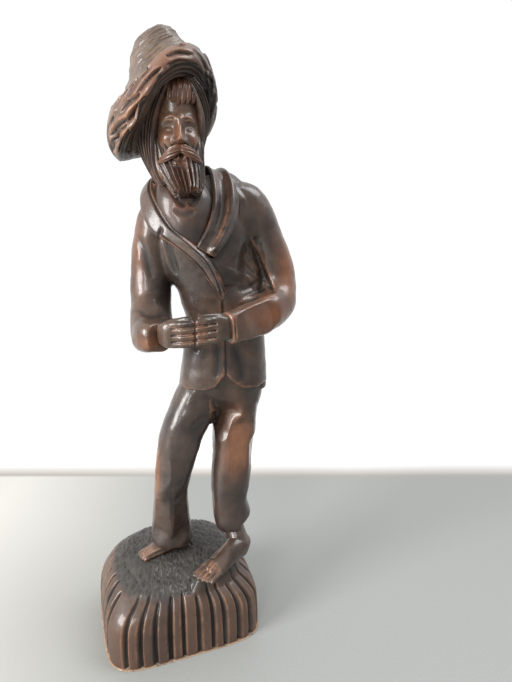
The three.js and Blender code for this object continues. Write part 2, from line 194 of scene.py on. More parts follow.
def pathDistance(points, path):
    # the shortest distance from each point to a chain of straight stretches, and how far along it that lies
    best = np.full(len(points), 1e9)
    place = np.zeros(len(points))
    steps = len(path) - 1
    for k in range(steps):
        a, d = path[k], path[k + 1] - path[k]
        t = np.clip(((points - a) @ d) / (d @ d), 0, 1)
        gap = np.linalg.norm(points - a - t[:, None] * d, axis=1)
        closer = gap < best
        best[closer] = gap[closer]
        place[closer] = (k + t[closer]) / steps
    return best, place


def valueNoise(points, size, seed):
    # smooth random values on a lattice of the given size, eight corners weighed by distance
    r = np.random.default_rng(seed).random((32, 32, 32))
    q = points / size
    i = np.floor(q).astype(int)
    f = q - i
    f = f * f * (3 - 2 * f)
    total = 0
    for dx in (0, 1):
        for dy in (0, 1):
            for dz in (0, 1):
                corner = (dx, dy, dz)
                w = np.where(corner, f, 1 - f).prod(1)
                x, y, z = ((i + corner) % 32).T
                total = total + w * r[x, y, z]
    return total * 2 - 1


def setAttribute(obj, name, values):
    layer = obj.data.attributes.get(name) or obj.data.attributes.new(name, "FLOAT", "POINT")
    layer.data.foreach_set("value", np.clip(values, 0, 1).astype(np.float32))


def patina(obj, reach=10, edge=0.16, extraRecess=0, extraWear=0):
    # how far a point stands out of, or lies below, the surface relaxed around it: ridges are rubbed bare and
    # hollows stay dark
    points, edges = pointsOf(obj), edgesOf(obj)
    normals = normalsOf(obj)
    fine = ((points - relaxed(points, edges, 3)) * normals).sum(1)
    wide = ((points - relaxed(points, edges, reach)) * normals).sum(1)
    stand = fine / (edge * 0.35) + wide / edge
    setAttribute(obj, "wear", ramp(stand, 0.7, 3.4) * 0.85 + extraWear)
    setAttribute(obj, "recess", ramp(-stand, 0.6, 3.6) * 0.9 + extraRecess)


def srgb(colour):
    # the linear value of a colour from 0 to 255: ((c + 0.055) / 1.055)^2.4, and c / 12.92 near black
    c = np.asarray(colour, float) / 255
    linear = np.where(c <= 0.04045, c / 12.92, ((c + 0.055) / 1.055) ** 2.4)
    return (*linear, 1.0)


class Nodes:
    # builds a material's node tree with short calls
    def __init__(self, name):
        self.material = bpy.data.materials.new(name)
        self.material.use_nodes = True
        self.tree = self.material.node_tree
        self.tree.nodes.clear()

    def add(self, kind, inputs, **settings):
        # settings come first, because they decide which sockets a node has
        node = self.tree.nodes.new(kind)
        for key, value in settings.items():
            setattr(node, key, value)
        for key, value in inputs.items():
            if isinstance(value, bpy.types.NodeSocket):
                self.tree.links.new(value, node.inputs[key])
            else:
                node.inputs[key].default_value = value
        return node

    def mix(self, factor, a, b):
        # a colour Mix node has its two colours at sockets 6 and 7
        return self.add("ShaderNodeMix", {0: factor, 6: a, 7: b}, data_type="RGBA").outputs[2]

    def sum(self, a, b):
        return self.add("ShaderNodeMath", {0: a, 1: b}, operation="ADD").outputs[0]

    def product(self, a, b, clamp=False):
        return self.add("ShaderNodeMath", {0: a, 1: b}, operation="MULTIPLY", use_clamp=clamp).outputs[0]

    def range(self, value, low, high, toLow=0.0, toHigh=1.0):
        return self.add("ShaderNodeMapRange", {0: value, 1: low, 2: high, 3: toLow, 4: toHigh}).outputs[0]

    def noise(self, place, scale, detail, roughness):
        inputs = {"Vector": place, "Scale": scale, "Detail": detail, "Roughness": roughness}
        return self.add("ShaderNodeTexNoise", inputs).outputs[0]


def stainedWood(name, dark, mid, worn, rough=0.33, warm=(128, 76, 46), earth=(62, 55, 49)):
    # a stain that pools in the hollows, is rubbed off the ridges and lies in clouds over an upright grain;
    # wear, recess, warmth, raw and stipple are painted on each piece as it is carved. On some pieces recess
    # also carries painted shade (a hollow's ambient shade, the chest beside the right arm, under the hat's
    # brim, the steep walls of slanted cuts, the hair's under side), and wear a painted highlight on the left
    # lapel's roll
    hollow, rawWood, grainInk = srgb((16, 11, 9)), srgb((176, 146, 116)), srgb((12, 8, 6))
    w = Nodes(name)
    place = w.add("ShaderNodeTexCoord", {}).outputs["Object"]
    upright = w.add("ShaderNodeMapping", {"Vector": place, "Scale": (1.0, 1.0, 0.07)}).outputs[0]
    fibres = w.noise(upright, 1300.0, 6.0, 0.65)
    cloud = w.noise(place, 28.0, 5.0, 0.6)
    patch = w.noise(place, 260.0, 4.0, 0.7)
    scuffs = w.noise(place, 75.0, 4.0, 0.65)
    wear, recess, warmth, raw, stipple = (
        w.add("ShaderNodeAttribute", {}, attribute_name=n).outputs["Fac"]
        for n in ("wear", "recess", "warmth", "raw", "stipple"))
    clouds = w.sum(w.range(cloud, 0.38, 0.62, 0.0, 0.62), w.range(scuffs, 0.36, 0.62, 0.0, 0.42))
    base = w.mix(clouds, srgb(dark), srgb(mid))
    base = w.mix(w.product(warmth, w.range(cloud, 0.3, 0.6, 0.55, 1.0), clamp=True), base, srgb(warm))
    ground = w.mix(w.range(patch, 0.35, 0.65), srgb(np.array(earth) * 0.7), srgb(earth))
    base = w.mix(stipple, base, ground)
    base = w.mix(w.range(fibres, 0.4, 0.72, 0.0, 0.5), base, w.mix(0.45, base, grainInk))
    rubbed = w.product(wear, w.range(patch, 0.32, 0.6, 0.5, 1.1))
    rubbed = w.product(rubbed, w.range(scuffs, 0.4, 0.62, 0.12, 1.0), clamp=True)
    base = w.mix(w.product(rubbed, 0.85, clamp=True), base, srgb(worn))
    # near black where recess is: stain in the hollows, and painted shade where a piece adds it
    base = w.mix(w.product(recess, 0.92, clamp=True), base, hollow)
    base = w.mix(w.product(raw, w.range(patch, 0.34, 0.5, 0.2, 1.0), clamp=True), base, rawWood)
    polish = w.range(patch, 0.3, 0.7, rough - 0.066, rough + 0.132)
    polish = w.sum(polish, w.product(w.sum(recess, stipple), 0.3))
    height = w.sum(w.product(fibres, 0.6), w.product(patch, 0.7))
    relief = w.add("ShaderNodeBump", {"Strength": 0.35, "Distance": 0.0004, "Height": height}).outputs[0]
    shader = w.add("ShaderNodeBsdfPrincipled", {"Base Color": base, "Roughness": polish, "Normal": relief,
                                                "Specular IOR Level": 0.5, "Coat Weight": 0.35,
                                                "Coat Roughness": 0.13})
    w.add("ShaderNodeOutputMaterial", {"Surface": shader.outputs[0]})
    return w.material


finishes = {
    "jacket": stainedWood("jacketStain", (28, 21, 18), (86, 67, 55), (146, 98, 72)),
    "trousers": stainedWood("trouserStain", (26, 20, 18), (72, 57, 49), (150, 100, 74), warm=(128, 86, 60)),
    "chest": stainedWood("chestStain", (34, 26, 22), (60, 45, 37), (140, 90, 62), rough=0.42),
    "warm": stainedWood("wornStain", (36, 27, 23), (92, 72, 58), (162, 112, 84)),
    "rock": stainedWood("rockStain", (32, 26, 23), (80, 62, 50), (140, 102, 78), 0.42, (94, 66, 50),
                        (66, 62, 57)),
    "hat": stainedWood("hatStain", (70, 58, 49), (116, 98, 84), (160, 112, 84), 0.46, (112, 74, 52)),
    "hair": stainedWood("hairStain", (34, 26, 22), (80, 60, 49), (154, 108, 82)),
    "skin": stainedWood("skinStain", (56, 40, 32), (108, 80, 62), (184, 128, 98), rough=0.28,
                        warm=(134, 88, 62)),
}


def dress(obj, finish, slot, *nodes):
    obj.data.materials.clear()
    obj.data.materials.append(finishes[finish])
    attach(obj, "root")
    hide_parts(*nodes)
    return obj


view = dict(place=(-4, -324, 258), turn=10.5, down=11.0, lens=27.0)
camera = bpy.data.objects.new("camera", bpy.data.cameras.new("camera"))
bpy.context.scene.collection.objects.link(camera)
camera.data.lens = view["lens"]
camera.data.sensor_width = 36.0
camera.data.sensor_fit = "AUTO"
camera.location = np.array(view["place"]) * mm
camera.rotation_euler = (math.radians(90 - view["down"]), 0, math.radians(-view["turn"]))
bpy.context.scene.camera = camera
bpy.context.scene.view_settings.view_transform = "Standard"


def areaLight(name, place, target, size, power, colour=(1, 1, 1)):
    data = bpy.data.lights.new(name, "AREA")
    data.shape = "RECTANGLE"
    data.size, data.size_y = size
    data.energy = power
    data.color = colour
    obj = bpy.data.objects.new(name, data)
    bpy.context.scene.collection.objects.link(obj)
    obj.location = Vector(place)
    obj.rotation_euler = (Vector(target) - Vector(place)).to_track_quat("-Z", "Y").to_euler()
    return obj


areaLight("window", (-0.95, -0.5, 0.62), (0, 0, 0.2), (0.45, 0.65), 20.0, (1.0, 0.985, 0.97))
areaLight("farWindow", (-0.45, -0.95, 0.7), (0, 0, 0.25), (0.22, 0.4), 4.0, (1.0, 0.99, 0.98))
areaLight("skylight", (0.55, -0.1, 1.1), (0, 0, 0.2), (0.5, 0.7), 8.0, (0.97, 0.98, 1.0))

# a white room: full strength behind the figure, dimmer on the side it faces
world = bpy.data.worlds.new("room")
bpy.context.scene.world = world
world.use_nodes = True
sky = world.node_tree
heading = sky.nodes.new("ShaderNodeTexCoord")
split = sky.nodes.new("ShaderNodeSeparateXYZ")
sky.links.new(heading.outputs["Generated"], split.inputs[0])
dim = sky.nodes.new("ShaderNodeMapRange")
dim.interpolation_type = "SMOOTHSTEP"
for index, value in ((1, -0.6), (2, 0.35), (3, 0.46), (4, 1.05)):
    dim.inputs[index].default_value = value
sky.links.new(split.outputs[1], dim.inputs[0])
sky.links.new(dim.outputs[0], sky.nodes["Background"].inputs[1])
sky.nodes["Background"].inputs[0].default_value = (1, 1, 1, 1)

# the table top is turned with the view, and its far end pales into the wall; its left side is painted lighter
# where the window light falls, and a darker band painted across it before the far end stands in for the shade
# along its back edge
table = dict(near=600, far=640, half=1500, rim=(531, 536, 585))
swing = math.radians(view["turn"])
ahead = np.array([math.sin(swing), math.cos(swing), 0])
sideways = np.array([math.cos(swing), -math.sin(swing), 0])
foot = np.array([view["place"][0], view["place"][1], 0.0])
corners = [foot + sideways * side * table["half"] + ahead * reach for side, reach in
           ((-1, -table["near"]), (1, -table["near"]), (1, table["far"]), (-1, table["far"]))]
floor = meshFrom("table", np.array(corners), np.array([[0, 1, 2, 3]]))
top = Nodes("tableTop")
place = top.add("ShaderNodeTexCoord", {}).outputs["Object"]
depth = top.add("ShaderNodeVectorMath", {0: place, 1: tuple(ahead)}, operation="DOT_PRODUCT").outputs["Value"]
rim = [float(foot @ ahead + r) * mm for r in table["rim"]]
across = top.add("ShaderNodeVectorMath", {0: place, 1: tuple(sideways)},
                 operation="DOT_PRODUCT").outputs["Value"]
# painted light: the table is lighter towards the left, where the window light falls
paintedWindowLight = top.range(across, -0.02, -0.2)
grit = top.add("ShaderNodeTexNoise", {"Vector": place, "Scale": 700.0, "Detail": 3.0}).outputs[0]
cloth = top.mix(grit, srgb((134, 136, 133)), srgb((147, 148, 145)))
cloth = top.mix(paintedWindowLight, cloth, srgb((190, 188, 183)))
# painted shade: a darker band where the table's back edge lies in shade, then the pale wall
shade = top.mix(top.range(depth, rim[0], rim[1]), cloth, srgb((150, 145, 138)))
shade = top.mix(top.range(depth, rim[1], rim[2]), shade, srgb((250, 250, 250)))
topShader = top.add("ShaderNodeBsdfPrincipled", {"Base Color": shade, "Roughness": 0.55})
top.add("ShaderNodeOutputMaterial", {"Surface": topShader.outputs[0]})
floor.data.materials.append(top.material)
print("stage set")


def drape(points, normals, path, facing=(0, -1, 0), reach=1.6):
    # each path point moves along the facing direction to the outermost skin found under it
    f = np.array(facing, float)
    out = []
    for p in np.asarray(path, float):
        d = points - p
        off = np.linalg.norm(d - (d @ f)[:, None] * f, axis=1)
        near = (off < reach) & (normals @ f > 0.05)
        if not near.any():
            near = off < off.min() + reach
        out.append(p + f * (d[near] @ f).max())
    return np.array(out)


class Carving:
    # holds a piece's skin while it is cut, each cut measured in millimetres along the skin's own normals
    def __init__(self, obj):
        self.obj = obj
        self.points, self.normals = pointsOf(obj), normalsOf(obj)
        self.wear = np.zeros(len(self.points))
        self.recess = np.zeros(len(self.points))

    def rub(self, amount):
        self.wear = np.maximum(self.wear, amount)

    def darken(self, amount):
        self.recess = np.maximum(self.recess, amount)

    def sink(self, amount):
        self.points -= self.normals * amount[:, None]

    def renew(self):
        setPoints(self.obj, self.points)
        self.points, self.normals = pointsOf(self.obj), normalsOf(self.obj)

    def gouge(self, path, width, depth, facing=(0, -1, 0), taper=0.25, sharp=1.0, steps=24, wear=0.0,
              lens=False,
              snap=True, slant=False):
        # a V cut along a smooth path: its depth falls from the middle line to the lips in proportion to the
        # distance, raised to a power, and runs out towards the path's ends
        path = curveThrough(path, steps)
        if snap:
            path = drape(self.points, self.normals, path, facing)
        low, high = path.min(0) - width * 1.7, path.max(0) + width * 1.7
        spot = np.nonzero((self.points > low).all(1) & (self.points < high).all(1))[0]
        if not len(spot):
            return
        gap, place = pathDistance(self.points[spot], path)
        ends = np.clip(np.minimum(place, 1 - place) / max(taper, 1e-3), 0, 1)
        ends = np.sqrt(ends * (2 - ends))
        reach = width * (0.25 + 0.75 * ends) if lens else width
        floor = 1.0
        if slant:
            # steep on the left of the path, and a long easy floor on its right; the darkening there is
            # painted shade, full on the steep wall and fading up the easy floor
            k = np.round(place * (len(path) - 1)).astype(int)
            run = np.gradient(path, axis=0)[k]
            side = (np.cross(run, self.points[spot] - path[k]) * facing).sum(1)
            reach = reach * np.where(side > 0, 0.35, 1.5)
            floor = np.where(side > 0, 1.0, np.clip(1 - gap / reach, 0, 1) ** 1.5)
        cut = np.clip(1 - gap / reach, 0, 1) ** sharp * ends
        self.points[spot] -= self.normals[spot] * (cut * depth)[:, None]
        # a cut's darkening: stain in the cut, and for a slanted cut the painted shade of its steep wall
        self.recess[spot] = np.maximum(self.recess[spot], cut * floor * 1.1 * min(1, depth / 0.8))
        self.wear[spot] = np.maximum(self.wear[spot], bell(gap, reach, 0.35 * width) * ends * wear)

    def ledge(self, path, depth, fade, start):
        # seen from the front, the skin on the left of a path drops away from a crisp edge along it
        steps = 200
        path = curveThrough(path, steps)[:, [0, 2]]
        run = np.gradient(path, axis=0)
        flat = self.points[:, [0, 2]]
        close = np.abs(flat - path.mean(0)).max(1) < np.ptp(path, axis=0).max()
        spot = np.nonzero((self.normals[:, 1] < 0.1) & close)[0]
        offset = flat[spot][:, None] - path
        near = (offset**2).sum(2).argmin(1)
        offset = offset[np.arange(len(spot)), near]
        gap = np.hypot(*offset.T) * np.sign(run[near, 0] * offset[:, 1] - run[near, 1] * offset[:, 0])
        place = near / (steps - 1)
        ends = ramp(np.minimum(place, 1 - place), 0, start)
        drop = ramp(gap, 0, 1.1) * np.exp(-np.maximum(gap, 0) / fade) * ends
        self.points[spot, 1] += drop * depth
        self.recess[spot] = np.maximum(self.recess[spot], drop * bell(gap, 1.0, 1.6) * 0.35)
        self.wear[spot] = np.maximum(self.wear[spot], bell(gap, -0.6, 0.9) * ends * 0.45)
        return spot, drop

    def shave(self, at, normal, reach, edge=0.45, limit=4.5, where=1.0):
        # a knife facet: whatever stands over a plane within reach of the place is cut back to the plane
        n = np.array(normal, float) / np.linalg.norm(normal)
        d = self.points - np.array(at, float)
        over = d @ n
        side = np.linalg.norm(d - over[:, None] * n, axis=1)
        share = 1 - ramp(side, reach * (1 - edge), reach)
        self.points -= n * (np.clip(over, 0, limit) * share * where)[:, None]

    def soften(self, at, size, rounds):
        # blends the skin towards its relaxed form round a place
        share = bell(np.linalg.norm(self.points - np.array(at, float), axis=1), 0, size)[:, None]
        self.points += (relaxed(self.points, edgesOf(self.obj), rounds) - self.points) * share

    def swell(self, at, size, amount, stretch=(1, 1, 1)):
        # a soft hump or hollow with a bell-shaped section; a hollow is also darkened with painted shade, more
        # for a deeper one
        share = bell(np.linalg.norm((self.points - np.array(at, float)) / np.array(stretch), axis=1), 0, size)
        self.sink(-share * amount)
        if amount < 0:
            self.darken(share * min(0.35, -amount / 12))

    def unevenness(self, size, amount, seed):
        self.sink(-valueNoise(self.points, size, seed) * amount)

    def strokes(self, direction, length, width, depth, seed, where):
        # shallow gouge strokes: the skin is a patchwork of long cells, each a little round-bottomed trough
        d = unit(np.array(direction, float))
        other = unit(np.cross(d, [0.31, 0.87, 0.38]))
        third = np.cross(d, other)
        q = np.stack([self.points @ d / length, self.points @ other / width, self.points @ third / width], 1)
        nearest, ring = cellDistance(q, seed)
        self.sink((1 - np.clip(nearest * 1.25, 0, 1) ** 2) * depth * where)
        self.rub(ramp(nearest / ring, 0.86, 1.0) * 0.55 * where)

    def finish(self, reach=10, edge=0.16, wearMore=0, paintedShade=0, smooth=0):
        if smooth:
            self.points = relaxed(self.points, edgesOf(self.obj), smooth, 0.4)
        setPoints(self.obj, self.points)
        # paintedShade is painted shade laid over the darkening of the hollows and cuts
        patina(self.obj, reach, edge, self.recess + paintedShade, self.wear + wearMore)
        return self.obj


def cellDistance(q, seed):
    # distances to the nearest and second nearest of one jittered point in every unit cube around
    r = np.random.default_rng(seed).random((16, 16, 16, 3))
    i = np.floor(q).astype(int)
    first = np.full(len(q), 9.0)
    second = np.full(len(q), 9.0)
    for dx in (-1, 0, 1):
        for dy in (-1, 0, 1):
            for dz in (-1, 0, 1):
                c = i + (dx, dy, dz)
                p = c + r[c[:, 0] % 16, c[:, 1] % 16, c[:, 2] % 16]
                d = np.linalg.norm(q - p, axis=1)
                second = np.minimum(second, np.maximum(first, d))
                first = np.minimum(first, d)
    return first, second


rock = dict(half=(48.5, 40.0), height=54.0, turn=10.7, squareness=5.0, fall=0.2, flutes=36, grooveHalf=1.95,
            grooveDepth=3.1, facetHalf=4.4, around=480, rows=204, stipple=2.3, stippleDepth=0.85,
            # the share of the full outline, and the height, from the middle of the underside to the top's
            profile=[(0.2, 0.0), (0.6, 0.0), (1.02, 0.0), (1.035, 0.008), (1.04, 0.05), (1.045, 0.2),
                     (1.035, 0.42), (1.005, 0.60), (0.955, 0.72), (0.895, 0.80), (0.82, 0.86), (0.71, 0.91),
                     (0.5, 0.955), (0.25, 0.99), (0.03, 1.0)],
            # under each foot: its heel and toes, and the rock's height below them
            pads=[((43.5, -14.5), (21, -30.5), 50.5, 47.2), ((4, 1), (-20, -6.6), 51.0, 50.2)])


def rockPiece(p):
    # rings of a superellipse, its share of the full outline and its height read along one profile; the wall's
    # flutes are V grooves at even steps of the outline's length
    line = curveThrough(np.array(p["profile"]), 600)
    run = np.linalg.norm(np.diff(line * (44, 54), axis=0), axis=1)
    run = np.concatenate([[0], np.cumsum(run)])
    at = np.linspace(0, run[-1], p["rows"])
    share, height = (np.interp(at, run, line[:, k])[:, None] for k in (0, 1))
    samples = 4001
    fullTurn = np.linspace(0, 2 * np.pi, samples)
    reach = superellipse(fullTurn, p["squareness"])
    x, y = np.cos(fullTurn) * reach * p["half"][0], np.sin(fullTurn) * reach * p["half"][1]
    length = np.concatenate([[0], np.cumsum(np.hypot(np.diff(x), np.diff(y)))])
    even = np.linspace(0, length[-1], p["around"], endpoint=False)
    x, y = np.interp(even, length, x)[None], np.interp(even, length, y)[None]
    # one groove per flute, none over the front left corner's broad facet
    pitch = length[-1] / p["flutes"]
    jitter = np.random.default_rng(11)
    grooves = (np.arange(p["flutes"]) + 0.5 + jitter.uniform(-0.1, 0.1, p["flutes"])) * pitch
    deep = jitter.uniform(0.8, 1.12, p["flutes"])
    wide = jitter.uniform(0.85, 1.15, p["flutes"])
    evenLength = np.linspace(0, length[-1], samples)
    corner = np.interp(np.pi + math.atan2(p["half"][1], p["half"][0]),
                       np.interp(evenLength, length, fullTurn),
                       evenLength)
    keep = np.abs(grooves - corner - 2) > p["facetHalf"]
    grooves, deep, wide = grooves[keep], deep[keep], wide[keep]
    lean = np.sin(height * 5) * 0.25
    gap = even[None, :, None] + lean[..., None] - grooves
    gap = np.abs((gap + length[-1] / 2) % length[-1] - length[-1] / 2)
    nearest = gap.argmin(-1)
    gap = np.take_along_axis(gap, nearest[..., None], -1)[..., 0]
    half = p["grooveHalf"] * wide[nearest] * np.interp(height, [0, 0.5, 0.8, 0.9], [0.95, 1.0, 0.8, 0.5])
    topEnd = 0.80 + 0.035 * np.sin(nearest * 2.1)
    cut = np.clip(1 - gap / half, 0, 1) ** 0.85 * p["grooveDepth"] * deep[nearest]
    cut = cut * ramp(height, topEnd + 0.06, topEnd - 0.04) * np.interp(height, [0, 0.04, 0.3, 1],
                                                                       [0.75, 0.8, 1, 1])
    inward = np.where(height < 0.004, share, share - cut / 42)
    # the outline grows rounder towards the top, which falls away to the front
    reach = np.hypot(x / p["half"][0], y / p["half"][1])
    rounder = 1 - ramp(height, 0.45, 0.95) * 0.75 * (1 - 1 / reach)
    px, py = x * inward * rounder, y * inward * rounder
    fallShare = np.interp(height, [0, 0.45, 0.64, 0.82, 0.94, 1], [0, 0, 0.3, 0.8, 1, 1])
    pz = height * p["height"] + p["fall"] * fallShare * py
    cos, sin = math.cos(math.radians(p["turn"])), math.sin(math.radians(p["turn"]))
    obj = closedGrid("rockBase", np.stack([px * cos - py * sin, px * sin + py * cos, pz], -1))
    # the top is stippled all over and stays dark
    c = Carving(obj)
    high = np.concatenate([np.broadcast_to(height, px.shape).ravel(), [0, 1]])
    onTop = ramp(high, 0.80, 0.87)
    wall = 1 - onTop
    near, _ = cellDistance(c.points / (p["stipple"] * 0.8, p["stipple"] * 1.6, 6), 5)
    big, _ = cellDistance(c.points / (p["stipple"] * 2.7, p["stipple"] * 2.7, 9), 6)
    dimple = np.clip(1 - near * 1.35, 0, 1) ** 0.8
    c.points[:, 2] -= onTop * (dimple * p["stippleDepth"] + (1 - np.clip(big, 0, 1)) * 0.55)
    c.darken(onTop * dimple * 0.38)
    c.points[:, 2] += onTop * valueNoise(c.points, 8.0, 7) * 0.9
    # the wall: dark grooves, rubbed lips and a bare lower rim
    cut = np.concatenate([cut.ravel(), [0, 0]])
    lip = bell(np.concatenate([(gap - half).ravel(), [9, 9]]), 0.25, 0.5) * wall
    c.darken(np.clip(cut / 2.0, 0, 1) * 0.75)
    c.sink(-valueNoise(c.points * (1, 1, 0.35), 7.0, 4) * 0.3 * wall * (c.points[:, 2] > 0.3))
    c.rub(lip * 0.25)
    c.rub(bell(c.points[:, 2], 0, 0.7) * (cut < 0.5))
    # the rock is left standing under each foot
    upper = ramp(high, 0.79, 0.88)
    for heel, toes, heelHeight, toeHeight in p["pads"]:
        heel, way = np.array(heel, float), np.subtract(toes, heel)
        t = np.clip(((c.points[:, :2] - heel) @ way) / (way @ way), 0, 1)
        off = np.linalg.norm(c.points[:, :2] - heel - t[:, None] * way, axis=1)
        lift = np.maximum(heelHeight + (toeHeight - heelHeight) * t - c.points[:, 2], 0)
        c.points[:, 2] += ramp(off, 14, 6) * upper * lift
    c.points[:, 2] = np.maximum(c.points[:, 2], 0)
    c.finish(reach=8, edge=0.25, wearMore=-onTop * 2)
    brown = wall * (0.35 + 0.65 * ramp(c.points[:, 2], 34, 8)) * (c.points[:, 1] < 5) * (cut < 0.6)
    setAttribute(obj, "stipple", onTop)
    setAttribute(obj, "warmth", brown * 0.8)
    setAttribute(obj, "raw", bell(c.points[:, 2], 0, 0.42) * 0.8)
    return dress(obj, "rock", "fluted_rock", "rock_plinth")


rockPiece(rock)
print("rock carved")

legs = dict(
    voxel=0.62,
    right=[(24, 3, 174, 12, 17, 2.3), (17, -1, 158, 14.5, 17, 2.4), (7.5, -6, 140, 14, 16, 2.4),
           (1.3, -9, 120, 12.4, 13.2, 2.5), (-1.8, -7.4, 101, 11, 12.4, 2.5),
           (-2.3, -2.8, 82, 11.8, 13, 2.4), (-2.4, 0.6, 66, 13.4, 14, 2.4),
           (-2.4, 1.2, 59, 13.4, 14, 2.4)],
    left=[(44, 3, 180, 16, 17, 2.4), (41.5, 1, 156, 15.5, 17, 2.4), (40, -2, 126.8, 13.6, 14.5, 2.5),
          (37.5, -6, 104.4, 12.8, 13.5, 2.5), (36.5, -7, 88, 11.8, 12.5, 2.4), (38, -6.5, 77, 12.6, 13, 2.4),
          (38.5, -6, 70, 12, 12.6, 2.3)],
    seat=[(33, 2, 150, 20, 14, 2.6), (34, 2, 158, 25, 18, 2.6), (34, 1, 172, 26, 19.5, 2.6),
          (35, 1, 184, 25, 18.5, 2.6)],
)


def trouserPiece(p):
    # two legs and a seat, each a loft of superellipses, fused into one skin that is then cut
    parts = [closedGrid("leg" + k, loft(p[k], 120, 120)) for k in ("right", "left", "seat")]
    obj = fused("trousers", parts, p["voxel"], 5)
    c = Carving(obj)
    front, back = (0, -1, 0), (0, 1, 0)
    # long flats cut down the shins and thighs, each kept to its own leg
    x, y, z = c.points.T
    rightLeg, leftLeg = (x < 22) & (z < 156), (x > 24) & (z < 160)
    c.shave((4.3, -12.9, 84), (0.55, -0.83, -0.2), 24, where=rightLeg, edge=0.5)
    c.shave((-9.2, -11.9, 82), (-0.6, -0.8, -0.17), 22, where=rightLeg, edge=0.5)
    c.shave((-7.6, -16.8, 122), (-0.7, -0.72, -0.02), 20, where=rightLeg, edge=0.5)
    c.shave((31.4, -12.3, 135), (-0.62, -0.7, 0.34), 25, limit=7, where=(x > 24) * ramp(z, 168, 150),
            edge=0.25)
    c.soften((35, -14, 153), 7, 30)
    c.shave((44, -15.0, 128), (0.12, -1, 0.145), 21, where=leftLeg, edge=0.3)
    c.shave((47.0, -8, 75.5), (0.62, -0.1, -0.78), 15, where=leftLeg, edge=0.3)
    c.shave((51, -8, 112), (1, -0.35, 0), 24, where=leftLeg)
    c.renew()
    # the crotch and the creases that run from it
    c.gouge([(27.8, 0, 152), (26.6, 0, 146), (25.4, 0, 139)], 3.0, 1.6, front)
    c.gouge([(26.5, 0, 150), (19, 0, 151), (11, 0, 145)], 2.4, 0.5, front, lens=True)
    # behind the knees and under the seat
    c.gouge([(34, 0, 168), (33, 0, 156), (31, 0, 146)], 2.6, 1.6, back)
    c.gouge([(10, 0, 150), (22, 0, 146), (33, 0, 148)], 2.6, 1.2, back, lens=True)
    c.gouge([(35, 0, 147), (44, 0, 144), (54, 0, 147)], 2.6, 1.2, back, lens=True)
    for z, bend in ((116, 2), (110, -1), (104, 1.5)):
        c.gouge([(-9, 0, z + bend), (0, 0, z), (8, 0, z + bend)], 2.2, 0.8, back, lens=True)
        c.gouge([(28, 0, z + bend), (38, 0, z - 1), (48, 0, z + bend)], 2.2, 0.8, back, lens=True)
    c.renew()
    c.unevenness(9.0, 0.5, 21)
    c.unevenness(4.0, 0.16, 22)
    x, y, z = c.points.T
    orange = bell(x, 41, 10) * bell(z, 130, 24) * (y < 0) * ramp(z, 98, 118)
    c.rub(bell(x, -10.4, 0.9) * bell(z, 114, 12) * (y < -4) * 0.8)
    c.finish(reach=12, edge=0.2)
    setAttribute(obj, "warmth", orange * 1.1 + bell(x, -12, 3.5) * bell(z, 112, 22) * 0.9)
    return dress(obj, "trousers", "dark_stain", "right_trouser_leg", "left_trouser_leg")


trouserPiece(legs)
print("trousers carved")

feet = dict(
    voxel=0.36,
    # each toe: its place across the foot, its radius and its length; then its swelling from root to tip
    toeRows=((-0.6, 1.0, 0.9, 0.8), (0.1, 0.6, 1, 1), (0.6, -0.1, 1.02, 0.95), (0.92, -0.8, 0.95, 0.8),
             (1.05, -1.2, 0.6, 0.5)),
    left=dict(sole=[(46.5, -12.5, 55, 3, 4), (44, -14.2, 57, 6.2, 7.6), (38.5, -18.2, 57.5, 6.8, 7.6),
                    (31, -23, 54.5, 7.4, 6), (25, -27, 51.5, 8.3, 4.6), (20.5, -30, 49.6, 8.2, 3.4)],
              shin=[(37.5, -8, 82, 6.8, 7), (38.2, -8.3, 74, 6, 6.4), (39.5, -10, 67, 6.4, 7),
                    (41, -13.5, 60, 7, 8), (41, -14, 57, 7, 7)],
              across=(0.55, -0.83, 0), ahead=(-0.83, -0.55, -0.18), toesAt=(20.5, -30, 50.2),
              toes=[(-6.3, 2.3, 8.5), (-2.5, 1.75, 8), (0.9, 1.7, 7.2), (4.2, 1.65, 6.2), (7.3, 1.6, 5.0)],
              clefts=(-4.3, -0.8, 2.6, 5.8), nails=(7.0, 6.5, 5.9, 5.0, 3.9)),
    right=dict(sole=[(6, 1, 55, 6, 6), (-4, -1.5, 56, 6.4, 5.5), (-11, -3.6, 55, 6.6, 4.4),
                     (-17, -5.5, 53, 5.8, 3.2), (-21.5, -7, 51.6, 4.2, 2.2)],
               across=(0.26, -0.96, 0), ahead=(-0.95, -0.26, -0.15), toesAt=(-19, -6.2, 52.2),
               toes=[(-3.8, 1.9, 5.2), (-0.9, 1.6, 5.0), (1.8, 1.5, 4.2), (4.2, 1.4, 3.2)],
               clefts=(-2.4, 0.5, 3.0)),
)


def footSkin(name, p):
    # a sole, the shin above it where it shows, and a row of toes
    parts = [closedGrid(name + "Sole", loft(p["sole"], 64, 60, p["across"]))]
    if "shin" in p:
        parts.append(closedGrid(name + "Shin", loft(p["shin"], 64, 50)))
    across, ahead = np.array(p["across"]), np.array(p["ahead"])
    for k, (offset, radius, length) in enumerate(p["toes"]):
        at = np.array(p["toesAt"], float) + across * offset
        rows = [(*(at + ahead * s * length + (0, 0, h)), radius * w, radius * d, 2.6) for s, h, w,
                d in feet["toeRows"]]
        parts.append(closedGrid(f"{name}Toe{k}", loft(rows, 40, 24, p["across"])))
    return Carving(fused(name, parts, feet["voxel"], 3))


